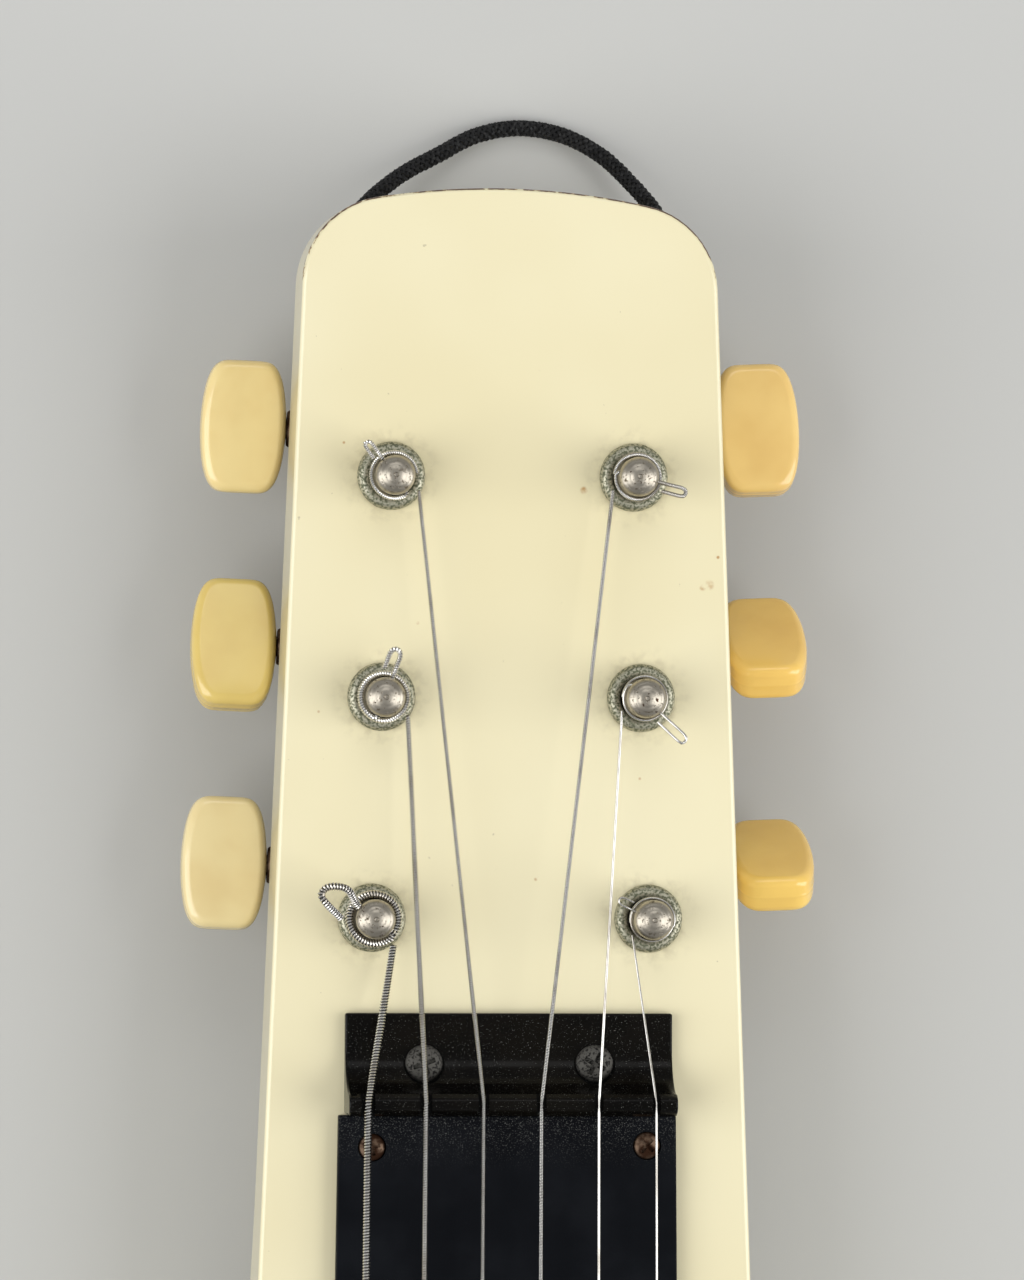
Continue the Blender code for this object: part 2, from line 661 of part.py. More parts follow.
def worm_radius(height):
    """Radius scale of the thread, fading out at both ends of the worm."""
    fade = THREAD_PITCH / 2
    edge = WORM_HALF_LENGTH - abs(height)
    return max(0.0, min(1.0, edge / fade))


def build_worm_shaft(number, matrix, side):
    """Shaft with a left-hand worm, journals and a collar, in one grid of rings."""
    root = WORM_PITCH_RADIUS - DEDENDUM
    tip = WORM_PITCH_RADIUS + ADDENDUM
    half_tip = THREAD_PITCH * TOOTH_SHARE / 2 - ADDENDUM * FLANK_SLOPE
    half_root = THREAD_PITCH * TOOTH_SHARE / 2 + DEDENDUM * FLANK_SLOPE
    inner_ear = -WORM_HALF_LENGTH - EAR_FROM_WORM / 2
    end = BUTTON_START + SHAFT_IN_BUTTON
    start_rings = [(SHAFT_INNER_END, 0), (SHAFT_INNER_END, SHAFT_RADIUS), (inner_ear, SHAFT_RADIUS),
                   (-WORM_HALF_LENGTH, root)]
    end_rings = [(WORM_HALF_LENGTH, root), (-inner_ear, SHAFT_RADIUS),
                 (COLLAR_START, SHAFT_RADIUS), (COLLAR_START, COLLAR_RADIUS - 0.4 * MM),
                 (COLLAR_START + 0.6 * MM, COLLAR_RADIUS),
                 (BUTTON_START - SEAT_GAP, COLLAR_RADIUS),
                 (BUTTON_START - SEAT_GAP, SHAFT_RADIUS), (end, SHAFT_RADIUS), (end, 0)]
    turns = math.ceil(WORM_HALF_LENGTH / THREAD_PITCH) + 1
    thread = []
    for turn in range(-turns, turns + 2):
        middle = turn * THREAD_PITCH
        thread += [(middle - half_root, root), (middle - half_tip, tip),
                   (middle + half_tip, tip), (middle + half_root, root)]

    bm = bmesh.new()
    columns = []
    for k in range(WORM_COLUMNS + 1):
        angle = 2 * math.pi * k / WORM_COLUMNS
        rows = list(start_rings)
        for height, radius in thread:
            height -= THREAD_PITCH * k / WORM_COLUMNS
            height = max(-WORM_HALF_LENGTH, min(WORM_HALF_LENGTH, height))
            rows.append((height, root + (radius - root) * worm_radius(height)))
        rows += end_rings
        columns.append([bm.verts.new((height, radius * math.cos(angle), radius * math.sin(angle)))
                        for height, radius in rows])
    for left, right in zip(columns, columns[1:]):
        for i in range(len(left) - 1):
            bm.faces.new((left[i], left[i + 1], right[i + 1], right[i]))
    bmesh.ops.remove_doubles(bm, verts=bm.verts, dist=0.002 * MM)
    bmesh.ops.dissolve_degenerate(bm, edges=bm.edges, dist=0.002 * MM)
    # A crest faces the wheel: along local +Y on the bass side, and -Y on the treble side
    if side > 0:
        bmesh.ops.rotate(bm, verts=bm.verts, cent=(0, 0, 0), matrix=Matrix.Rotation(math.pi, 3, "X"))
    place(f"worm_shaft_{number}", bm, "worn_nickel", shaft_matrix(matrix, side))


def shaft_matrix(matrix, side):
    """Frame on a worm shaft's axis, level with its post."""
    return matrix @ Matrix.Translation((0, side * GEAR_CENTRES, 0))


def build_worm_wheel(number, matrix):
    """Helical wheel whose teeth lean with the worm's thread."""
    half_tip = TOOTH_SHARE / 2 - ADDENDUM * FLANK_SLOPE / THREAD_PITCH
    half_root = TOOTH_SHARE / 2 + DEDENDUM * FLANK_SLOPE / THREAD_PITCH
    root = WHEEL_PITCH_RADIUS - DEDENDUM
    tip = WHEEL_PITCH_RADIUS + ADDENDUM
    lead = THREAD_PITCH / (2 * math.pi * WORM_PITCH_RADIUS)
    lean = -lead / WHEEL_PITCH_RADIUS
    bore = POST_FOOT_RADIUS + SEAT_GAP
    step = 2 * math.pi / WHEEL_TEETH
    bm = bmesh.new()
    outer = []
    inner = []
    for height in (-WHEEL_THICKNESS / 2, WHEEL_THICKNESS / 2):
        ring = []
        hole = []
        for tooth in range(WHEEL_TEETH):
            # A gap between two teeth faces the worm, at a quarter turn from local X
            middle = math.pi / 2 + (tooth + 0.5) * step + lean * height
            for offset, radius in ((-half_root, root), (-half_tip, tip),
                                   (half_tip, tip), (half_root, root)):
                angle = middle + offset * step
                ring.append(bm.verts.new((radius * math.cos(angle), radius * math.sin(angle),
                                          height)))
            angle = middle - step / 2
            hole.append(bm.verts.new((bore * math.cos(angle), bore * math.sin(angle), height)))
        outer.append(ring)
        inner.append(hole)
    count = len(outer[0])
    for i in range(count):
        j = (i + 1) % count
        bm.faces.new((outer[0][i], outer[0][j], outer[1][j], outer[1][i]))
    for tooth in range(WHEEL_TEETH):
        after = (tooth + 1) % WHEEL_TEETH
        bm.faces.new((inner[0][after], inner[0][tooth], inner[1][tooth], inner[1][after]))
        for ring, hole in zip(outer, inner):
            edge = [ring[(4 * tooth + k) % count] for k in range(5)]
            bm.faces.new([hole[tooth]] + edge + [hole[after]])
    place(f"worm_wheel_{number}", bm, "brass_wheel", matrix)


def build_post(number, matrix):
    """String post, with a cross hole and a domed head."""
    face = FACE_Z - SHAFT_Z
    foot = -WHEEL_THICKNESS / 2 - 0.4 * MM
    seat = WHEEL_THICKNESS / 2 + SEAT_GAP
    dome = face + POST_DOME_START
    rise = POST_HEIGHT - POST_DOME_START
    profile = [(0, foot), (POST_FOOT_RADIUS, foot), (POST_FOOT_RADIUS, seat),
               (POST_RADIUS, seat), (POST_RADIUS, dome - 0.5 * MM), (POST_DOME_RADIUS, dome)]
    profile += [(POST_DOME_RADIUS * math.cos(math.radians(a)),
                 dome + rise * math.sin(math.radians(a))) for a in (35, 65)]
    profile += [(0, face + POST_HEIGHT)]
    post = place(f"post_{number}", turned(profile, POST_SEGMENTS), "worn_nickel", matrix)

    plan = wrap_plan(number)
    along = Vector((math.cos(plan["hole"]), math.sin(plan["hole"]), 0)) * 3 * POST_RADIUS
    centre = Vector((*plan["centre"], FACE_Z + POST_HOLE_HEIGHT))
    cut = bmesh.new()
    add_cylinder(cut, plan["radius"] + SEAT_GAP, centre - along, centre + along, 8)
    combine(post, helper(f"cut_post_{number}", cut))


def build_ferrule(number, matrix):
    """Pressed bushing with a domed ring around the post."""
    face = FACE_Z - SHAFT_Z
    bore = POST_RADIUS + SEAT_GAP
    seat = face + SEAT_GAP
    top = face + FERRULE_HEIGHT
    middle = (bore + FERRULE_RADIUS) / 2
    profile = [(bore, face - FERRULE_SLEEVE_DEPTH), (FERRULE_SLEEVE_RADIUS, face - FERRULE_SLEEVE_DEPTH),
               (FERRULE_SLEEVE_RADIUS, seat), (FERRULE_RADIUS, seat),
               (FERRULE_RADIUS - 0.1 * MM, seat + 0.8 * MM),
               (middle + 0.5 * MM, top), (middle - 0.4 * MM, top),
               (bore, top - 0.6 * MM)]
    place(f"ferrule_{number}", turned(profile, 12, closed=True), "grey_zinc", matrix)


def button_ring(inset, height):
    """One ring of a button: a barrel outline drawn in by an inset."""
    count = 16
    half_length = BUTTON_LENGTH / 2 - inset
    half_width_now = BUTTON_WIDTH / 2 - inset
    points = []
    for i in range(count):
        angle = 2 * math.pi * i / count
        c = math.cos(angle)
        s = math.sin(angle)
        x = half_length * math.copysign(abs(c) ** (2 / 3.0), c)
        y = half_width_now * math.copysign(abs(s) ** (2 / 2.9), s)
        points.append((BUTTON_START + BUTTON_LENGTH / 2 + x, y, height))
    return points


def build_button(number, matrix, side):
    """Barrel-shaped plastic button, bored for its shaft."""
    half = BUTTON_THICKNESS / 2
    levels = [(BUTTON_EDGE, -half), (0.35 * BUTTON_EDGE, -half + 0.35 * BUTTON_EDGE),
              (0, -half + BUTTON_EDGE)]
    levels += [(inset, -height) for inset, height in levels[::-1]]
    bm = lofted([button_ring(inset, height) for inset, height in levels])
    # Turned about the shaft so that its edge nearer the bridge is raised
    turn = -side * math.radians(BUTTON_REST_TURN[number])
    frame = shaft_matrix(matrix, side)
    bmesh.ops.rotate(bm, verts=bm.verts, cent=(0, 0, 0), matrix=Matrix.Rotation(turn, 3, "X"))
    button = place(f"button_{number}", bm, "cream_plastic", frame)
    cut = bmesh.new()
    add_cylinder(cut, SHAFT_RADIUS + SEAT_GAP, (BUTTON_START - 2 * MM, 0, 0),
                 (BUTTON_START + SHAFT_IN_BUTTON + SEAT_GAP, 0, 0), 12)
    combine(button, helper(f"cut_button_{number}", cut, frame))


def least_gap(points, radius):
    """Least gap of a tube to itself, among points that lie well apart along it."""
    far = 2 * math.pi * radius + 4 * radius
    run = [0.0]
    for a, b in zip(points, points[1:]):
        run.append(run[-1] + (Vector(b) - Vector(a)).length)
    least = float("inf")
    for i, a in enumerate(points):
        for j in range(i + 1, len(points)):
            if run[j] - run[i] > far:
                least = min(least, (Vector(points[j]) - Vector(a)).length - 2 * radius)
    return least


def build_string_wrap(number, matrix):
    """Turns of one string on its post, through the cross hole to its folded end."""
    plan = wrap_plan(number)
    centre = plan["centre"]
    radius = plan["radius"]
    steps = max(6, round(abs(plan["sweep"]) / 360 * POINTS_PER_TURN))
    points = []
    for i in range(steps + 1):
        share = i / steps
        angle = plan["leave"] + plan["sweep"] * share
        turn = abs(plan["sweep"])
        height = plan["leave_height"] + wrap_rise(turn * share, turn, radius)
        points.append((*on_circle(centre, plan["wrap_radius"], angle), FACE_Z + height))
    points = points[:-1]
    hole = Vector((math.cos(plan["hole"]), math.sin(plan["hole"])))
    sideways = Vector((-hole.y, hole.x)) * plan["side"]
    level = FACE_Z + POST_HOLE_HEIGHT
    fold = STUB_FOLD[number]
    reach = STUB_REACH[number]

    def from_centre(outwards, across=0.0):
        share = max(0.0, (-outwards - POST_RADIUS) / (reach - POST_RADIUS))
        rise = STUB_RISE[number] * math.sin(math.pi / 2 * share)
        return (*(centre + hole * outwards + sideways * across), level + rise)

    points.append(from_centre(POST_RADIUS + radius, radius * 0.5))
    points.append(from_centre(POST_RADIUS - radius * 0.3))
    points.append(from_centre(-POST_RADIUS))
    points.append(from_centre(-(POST_RADIUS + reach) / 2))
    points.append(from_centre(-reach + fold * 0.5))
    points.append(from_centre(-reach, fold * 0.25))
    points.append(from_centre(-reach, fold * 0.75))
    points.append(from_centre(-reach + fold * 0.5, fold))
    points.append(from_centre(-POST_RADIUS - radius - 3 * SEAT_GAP, fold))
    gap = least_gap(points, radius)
    print(f"string_wrap_{number}: least gap to itself {gap / MM:.2f} mm")
    place_tube(f"string_wrap_{number}", points, radius, matrix)


def place_tube(name, points, radius, matrix):
    """A string tube whose origin is on its post's axis."""
    inverse = matrix.inverted()
    obj = tube(name, [inverse @ Vector(point) for point in points], radius, "string_steel")
    obj.matrix_world = matrix


def build_string(number):
    """One string from its post over the nut and the saddle to the bridge's wall."""
    plan = wrap_plan(number)
    radius = plan["radius"]
    slope, nut_height = string_slope(number)
    tangent = on_circle(plan["centre"], plan["wrap_radius"], plan["leave"])
    direction = (plan["nut_point"] - tangent).normalized()
    inner = POST_RADIUS + SEAT_GAP
    outer = plan["wrap_radius"] + radius + SEAT_GAP
    lead = math.sqrt(outer ** 2 - inner ** 2)
    start = tangent + direction * lead
    run = (plan["nut_point"] - start).length
    bridge_x = string_x(number, BRIDGE_STRING_SPAN)
    saddle = FACE_Z + SEAT_GAP + BRIDGE_RIDGE_HEIGHT + SEAT_GAP + radius
    wall = BRIDGE_Y - BRIDGE_WALL_START - BRIDGE_WALL_THICKNESS
    anchor = FACE_Z + ANCHOR_HEIGHT
    points = [(*start, FACE_Z + nut_height - slope * run),
              (*plan["nut_point"], FACE_Z + nut_height),
              (plan["nut_point"].x, NUT_Y - 1.0 * MM, FACE_Z + nut_height),
              (bridge_x, BRIDGE_Y, saddle),
              (bridge_x, BRIDGE_Y - 1.4 * MM, saddle - 0.1 * MM),
              (bridge_x, BRIDGE_Y - BRIDGE_WALL_START + 1.5 * MM, anchor + 0.2 * MM),
              (bridge_x, wall - STRING_PAST_WALL, anchor)]
    tube(f"string_{number}", points, radius, "string_steel")


def build_bridge():
    """Bridge casting with a saddle ridge and a drilled anchor wall."""
    top = BRIDGE_RIDGE_HEIGHT
    plate = BRIDGE_PLATE_THICKNESS
    front = BRIDGE_Y + BRIDGE_FRONT
    run = BRIDGE_FRONT - 2.5 * MM - 1.6 * MM
    cove = [(front - 2.5 * MM - run * math.sin(math.radians(a)),
             plate + (top - 1.2 * MM - plate) * (1 - math.cos(math.radians(a))))
            for a in (0, 30, 60, 90)]
    wall = BRIDGE_Y - BRIDGE_WALL_START
    profile = [(front, 0), (front, plate)] + cove
    profile += [(BRIDGE_Y + 0.7 * MM, top - 0.15 * MM), (BRIDGE_Y - 0.6 * MM, top),
                (BRIDGE_Y - 1.6 * MM, top - 1.0 * MM), (BRIDGE_Y - 2.2 * MM, plate),
                (wall, plate), (wall, BRIDGE_WALL_HEIGHT),
                (wall - BRIDGE_WALL_THICKNESS, BRIDGE_WALL_HEIGHT), (wall - BRIDGE_WALL_THICKNESS, 0)]
    base = FACE_Z + SEAT_GAP
    bm = extruded([(-BRIDGE_WIDTH / 2, y, base + z) for y, z in profile], (BRIDGE_WIDTH, 0, 0))
    bridge = place("bridge", bm, "black_gloss")
    cut = bmesh.new()
    for number in range(1, STRING_COUNT + 1):
        x = string_x(number, BRIDGE_STRING_SPAN)
        radius = STRING_DIAMETERS[number - 1] / 2 + 2 * SEAT_GAP
        z = FACE_Z + ANCHOR_HEIGHT
        add_cylinder(cut, radius, (x, wall + 1 * MM, z),
                     (x, wall - BRIDGE_WALL_THICKNESS - 1 * MM, z), 8)
    combine(bridge, helper("cut_bridge_holes", cut))


def build_pickup():
    """Pickup cover with its flange, and the wound coil under it."""
    base = FACE_Z + SEAT_GAP
    width, length, height = PICKUP_FLANGE_SIZE
    move = Matrix.Translation((0, PICKUP_Y, 0))
    flange = extruded(at_height(rounded_rectangle(width, length, 5 * MM), base), (0, 0, height))
    cover = place("pickup_cover", flange, "chrome", move)
    width, length, height = PICKUP_COVER_SIZE
    dome = [at_height(rounded_rectangle(width - 2 * inset, length - 2 * inset, 4 * MM - inset),
                      base + level)
            for inset, level in ((0, 0.5 * MM), (0, height - 1.5 * MM), (0.5 * MM, height - 0.5 * MM),
                                 (1.6 * MM, height))]
    combine(cover, helper("pickup_dome", lofted(dome), move), "UNION")
    wall = PICKUP_WALL
    hollow = extruded(at_height(rounded_rectangle(width - 2 * wall, length - 2 * wall, 3 * MM),
                                base - 2 * MM), (0, 0, height - wall + 2 * MM))
    combine(cover, helper("cut_pickup_hollow", hollow, move))

    bottom = FACE_Z - COIL_DEPTH_IN_BODY
    top = base + height - wall - SEAT_GAP
    rings = []
    for inset, level in ((0, bottom), (0, bottom + COIL_FLANGE), (COIL_WAIST, bottom + COIL_FLANGE),
                         (COIL_WAIST, top - COIL_FLANGE), (0, top - COIL_FLANGE), (0, top)):
        outline = rounded_rectangle(COIL_LENGTH - 2 * inset, COIL_WIDTH - 2 * inset,
                                    COIL_WIDTH / 2 - inset - 0.2 * MM)
        rings.append(at_height(outline, level))
    place("pickup_coil", lofted(rings), "coil_black", move)


def control_point(offset):
    """Matrix at one control's place along the plate, at the face of the body."""
    return Matrix.Translation((CONTROL_X, CONTROL_Y + offset, FACE_Z))


def build_control_plate():
    """Plate that carries the two pots and the jack."""
    width, length, thickness = CONTROL_PLATE_SIZE
    outline = rounded_rectangle(width, length, CONTROL_PLATE_CORNER)
    plate = place("control_plate", extruded(at_height(outline, SEAT_GAP), (0, 0, thickness)),
                  "chrome", control_point(0))
    cut = bmesh.new()
    for offset, radius in ((VOLUME_OFFSET, BUSHING_RADIUS), (TONE_OFFSET, BUSHING_RADIUS),
                           (JACK_OFFSET, JACK_BUSHING_RADIUS)):
        add_cylinder(cut, radius + SEAT_GAP, (0, offset, -2 * MM),
                     (0, offset, thickness + 2 * MM), 16)
    combine(plate, helper("cut_control_plate", cut, control_point(0)))


def build_control(name, offset):
    """One pot, its turning shaft and its fluted knob."""
    matrix = control_point(offset)
    plate_top = SEAT_GAP + CONTROL_PLATE_SIZE[2]
    case_top = -SEAT_GAP
    case_bottom = case_top - POT_DEPTH
    bore = POT_SHAFT_RADIUS + SEAT_GAP
    floor = case_bottom + 1.5 * MM
    bushing = plate_top + BUSHING_HEIGHT
    profile = [(0, floor), (bore, floor), (bore, bushing), (BUSHING_RADIUS, bushing),
               (BUSHING_RADIUS, case_top), (POT_RADIUS, case_top), (POT_RADIUS, case_bottom),
               (0, case_bottom)]
    place(f"{name}_pot", turned(profile, 16), "worn_nickel", matrix)

    shaft_top = plate_top + POT_SHAFT_HEIGHT
    profile = [(0, floor + SEAT_GAP), (POT_SHAFT_RADIUS, floor + SEAT_GAP),
               (POT_SHAFT_RADIUS, shaft_top), (0, shaft_top)]
    place(f"{name}_shaft", turned(profile, 12), "worn_nickel", matrix)

    low = plate_top + 0.6 * MM
    top = plate_top + KNOB_HEIGHT
    clear = BUSHING_RADIUS + 1.0 * MM
    profile = [(0, shaft_top + SEAT_GAP), (bore, shaft_top + SEAT_GAP),
               (bore, bushing + SEAT_GAP), (clear, bushing + SEAT_GAP), (clear, low),
               (KNOB_RADIUS, low), (KNOB_RADIUS, low + 2.2 * MM),
               (KNOB_TOP_RADIUS, low + 3.4 * MM), (KNOB_TOP_RADIUS - 0.4 * MM, top - 0.8 * MM),
               (KNOB_TOP_RADIUS - 1.4 * MM, top), (0, top - 0.3 * MM)]
    segments = 2 * KNOB_FLUTES
    bm = turned(profile, segments)
    for vert in bm.verts:
        radius = vert.co.to_2d().length
        fluted = vert.co.z > low + 3 * MM and radius > KNOB_TOP_RADIUS - 1.0 * MM
        column = round(math.atan2(vert.co.y, vert.co.x) / (2 * math.pi) * segments)
        if fluted and column % 2:
            scale = 1 - KNOB_FLUTE_DEPTH / radius
            vert.co.x *= scale
            vert.co.y *= scale
    place(f"{name}_knob", bm, "black_gloss", matrix)


def build_jack():
    """Jack socket with its bushing through the control plate."""
    plate_top = SEAT_GAP + CONTROL_PLATE_SIZE[2]
    top = plate_top + JACK_BUSHING_HEIGHT
    floor = top - JACK_BORE_DEPTH
    case_top = -SEAT_GAP
    profile = [(0, floor), (JACK_BORE_RADIUS, floor), (JACK_BORE_RADIUS, top - 0.4 * MM),
               (JACK_BORE_RADIUS + 0.4 * MM, top), (JACK_BUSHING_RADIUS, top),
               (JACK_BUSHING_RADIUS, case_top), (JACK_CASE_RADIUS, case_top),
               (JACK_CASE_RADIUS, floor - JACK_FLOOR), (0, floor - JACK_FLOOR)]
    place("jack_socket", turned(profile, 16), "chrome", control_point(JACK_OFFSET))


def build_cord_bracket():
    """Bent strap on the head's back, with a channel that the cord runs through."""
    top = HEAD_BACK_Z - SEAT_GAP
    y = HEAD_END_Y - BRACKET_FROM_HEAD_END
    t = BRACKET_THICKNESS
    inner = BRACKET_CHANNEL / 2
    outer = inner + t
    end = outer + BRACKET_TAB
    low = top - BRACKET_RISE
    profile = [(-end, top), (-end, top - t), (-outer - 0.4 * MM, top - t), (-outer, top - 2 * t),
               (-outer, low), (-inner, low - t), (inner, low - t), (outer, low),
               (outer, top - 2 * t), (outer + 0.4 * MM, top - t), (end, top - t), (end, top),
               (inner, top), (inner, low + 0.3 * MM), (inner - 0.3 * MM, low),
               (-inner + 0.3 * MM, low), (-inner, low + 0.3 * MM), (-inner, top)]
    bm = extruded([(-BRACKET_LENGTH / 2, y + offset, z) for offset, z in profile],
                  (BRACKET_LENGTH, 0, 0))
    place("cord_bracket", bm, "worn_nickel")


def smooth_route(points, spacing):
    """Points at a spacing on a smooth curve through the chosen ones."""
    places = [Vector(point) for point in points]
    padded = [2 * places[0] - places[1]] + places + [2 * places[-1] - places[-2]]
    fine = []
    for a, b, c, d in zip(padded, padded[1:], padded[2:], padded[3:]):
        steps = max(1, round((c - b).length / spacing))
        for i in range(steps):
            t = i / steps
            fine.append(0.5 * (2 * b + (c - a) * t + (2 * a - 5 * b + 4 * c - d) * t * t
                               + (3 * b - a - 3 * c + d) * t ** 3))
    fine.append(places[-1])
    return fine


# Hanging cord's route in millimetres, with Y from the head's end and Z from the body's back:
# out of the bracket's bass mouth and around to the other
CORD_ROUTE = [
    (-1.0, -24.5, 19.5), (-7.0, -24.5, 19.5), (-12.5, -24.3, 19.2), (-18.5, -21.9, 18.0),
    (-23.4, -16.9, 15.9), (-25.0, -10.9, 13.4), (-23.6, -5.1, 10.9), (-20.1, -0.7, 8.6),
    (-14.7, 3.6, 5.8), (-8.7, 6.9, 3.6), (-2.6, 10.1, 2.0), (4.4, 11.5, 1.5),
    (11.6, 10.4, 1.8), (17.7, 7.2, 3.3), (22.3, 2.7, 5.7), (26.3, -2.5, 8.7),
    (28.5, -8.5, 11.8), (28.0, -14.9, 14.7), (24.6, -20.3, 17.1), (18.9, -23.6, 18.7),
    (12.5, -24.4, 19.3), (7.0, -24.5, 19.5), (1.0, -24.5, 19.5),
]


def build_hang_cord():
    """Braided cord that arches past the head's end and lies down under its own weight."""
    route = [(x * MM, HEAD_END_Y + y * MM, z * MM) for x, y, z in CORD_ROUTE]
    points = smooth_route(route, 2 * CORD_DIAMETER)
    length = sum((b - a).length for a, b in zip(points, points[1:]))
    print(f"hang_cord: {length / MM:.1f} mm long")
    tube("hang_cord", points, CORD_DIAMETER / 2, "cord_black", bevel_resolution=2)


def main():
    """Build every piece."""
    clear_objects()
    build_body()
    build_nut()
    build_fretboard()
    build_tuner_plate("tuner_plate_treble", (1, 2, 3))
    build_tuner_plate("tuner_plate_bass", (6, 5, 4))
    for number in range(1, STRING_COUNT + 1):
        matrix, side = tuner_matrix(number)
        build_worm_shaft(number, matrix, side)
        build_worm_wheel(number, matrix)
        build_post(number, matrix)
        build_ferrule(number, matrix)
        build_button(number, matrix, side)
        build_string_wrap(number, matrix)
        build_string(number)
    build_bridge()
    build_pickup()
    build_control_plate()
    build_control("volume", VOLUME_OFFSET)
    build_control("tone", TONE_OFFSET)
    build_jack()
    build_cord_bracket()
    build_hang_cord()


main()
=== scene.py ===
"""Looks of a six-string lap steel guitar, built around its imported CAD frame.

The instrument lies on its back. X runs across it with the treble side at +X, Y runs
along it towards the head, and Z is up. Sizes are in metres, written in millimetres
times MM. Each sub-assembly is a class with its sizes as fields and a build method.
"""
import sys

import json
import logging
import math
from dataclasses import dataclass, field
from enum import Enum
from typing import Iterable, Sequence, Union

import bmesh
import bpy
from mathutils import Matrix, Vector

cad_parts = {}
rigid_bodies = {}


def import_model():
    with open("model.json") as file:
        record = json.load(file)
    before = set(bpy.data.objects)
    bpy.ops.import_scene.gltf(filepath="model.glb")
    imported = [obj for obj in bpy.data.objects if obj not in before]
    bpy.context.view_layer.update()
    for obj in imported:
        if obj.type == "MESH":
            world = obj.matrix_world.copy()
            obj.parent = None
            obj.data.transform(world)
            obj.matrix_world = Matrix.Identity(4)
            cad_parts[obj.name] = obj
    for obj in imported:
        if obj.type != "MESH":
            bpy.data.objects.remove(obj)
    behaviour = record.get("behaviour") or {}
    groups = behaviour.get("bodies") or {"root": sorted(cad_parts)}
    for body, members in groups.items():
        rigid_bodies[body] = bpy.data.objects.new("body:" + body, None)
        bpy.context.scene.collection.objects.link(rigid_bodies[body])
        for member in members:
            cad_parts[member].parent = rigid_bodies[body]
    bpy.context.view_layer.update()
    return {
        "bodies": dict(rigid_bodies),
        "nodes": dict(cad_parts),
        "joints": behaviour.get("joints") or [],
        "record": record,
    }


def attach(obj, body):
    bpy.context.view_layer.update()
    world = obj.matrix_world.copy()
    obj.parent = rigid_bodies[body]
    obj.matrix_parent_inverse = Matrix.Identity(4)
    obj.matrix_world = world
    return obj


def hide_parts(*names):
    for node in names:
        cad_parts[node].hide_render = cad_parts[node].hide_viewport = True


LOG = logging.getLogger("lap_steel")

Socket = bpy.types.NodeSocket
NodeValue = Union[bpy.types.NodeSocket, float, Sequence[float]]

MM = 0.001
SEAT_GAP = 0.25 * MM

COAT_ROUGHNESS = 0.08

# Whole instrument
FACE_Z = 38.0 * MM
HEAD_BACK_Z = 22.0 * MM
HEAD_END_Y = 392.5 * MM
TAIL_END_Y = -392.5 * MM
NUT_Y = 248.0 * MM
SCALE_LENGTH = 571.5 * MM
BRIDGE_Y = NUT_Y - SCALE_LENGTH
PICKUP_Y = -272.0 * MM
CONTROL_PLACE = (61.0 * MM, -262.0 * MM)

# Strings, from the first to the sixth
STRING_DIAMETERS = (0.35 * MM, 0.45 * MM, 0.65 * MM, 0.80 * MM, 1.00 * MM, 1.33 * MM)
STRING_NUMBERS = range(1, len(STRING_DIAMETERS) + 1)
NUT_STRING_SPAN = 45.6 * MM
BRIDGE_STRING_SPAN = 54.0 * MM
STRING_REST_HEIGHT = 10.3 * MM

# Sides of the neck and the head
NUT_HALF_WIDTH = 37.55 * MM
SIDE_TAPER = 0.039

GEAR_MODULE = 0.7 * MM


class Body(Enum):
    """CAD bodies that pieces ride on; those of a tuner take its number."""

    INSTRUMENT = "instrument"
    POST = "tuner_post_{}"
    SHAFT = "tuner_shaft_{}"

    def named(self, number: int = 0) -> str:
        """The body's name, with a tuner's number in it where it has one."""
        return self.value.format(number)


class Drive(Enum):
    """Recess in a screw's head."""

    CROSS = "cross"
    SLOT = "slot"


def srgb(red: float, green: float, blue: float) -> tuple[float, float, float, float]:
    """Linear colour of an 8-bit display colour.

    Args:
        red: Red channel, from 0 to 255.
        green: Green channel.
        blue: Blue channel.

    Returns:
        Linear red, green and blue, and an alpha of 1.
    """
    linear = []
    for channel in (red, green, blue):
        value = channel / 255
        linear.append(value / 12.92 if value <= 0.04045 else ((value + 0.055) / 1.055) ** 2.4)
    return (*linear, 1.0)


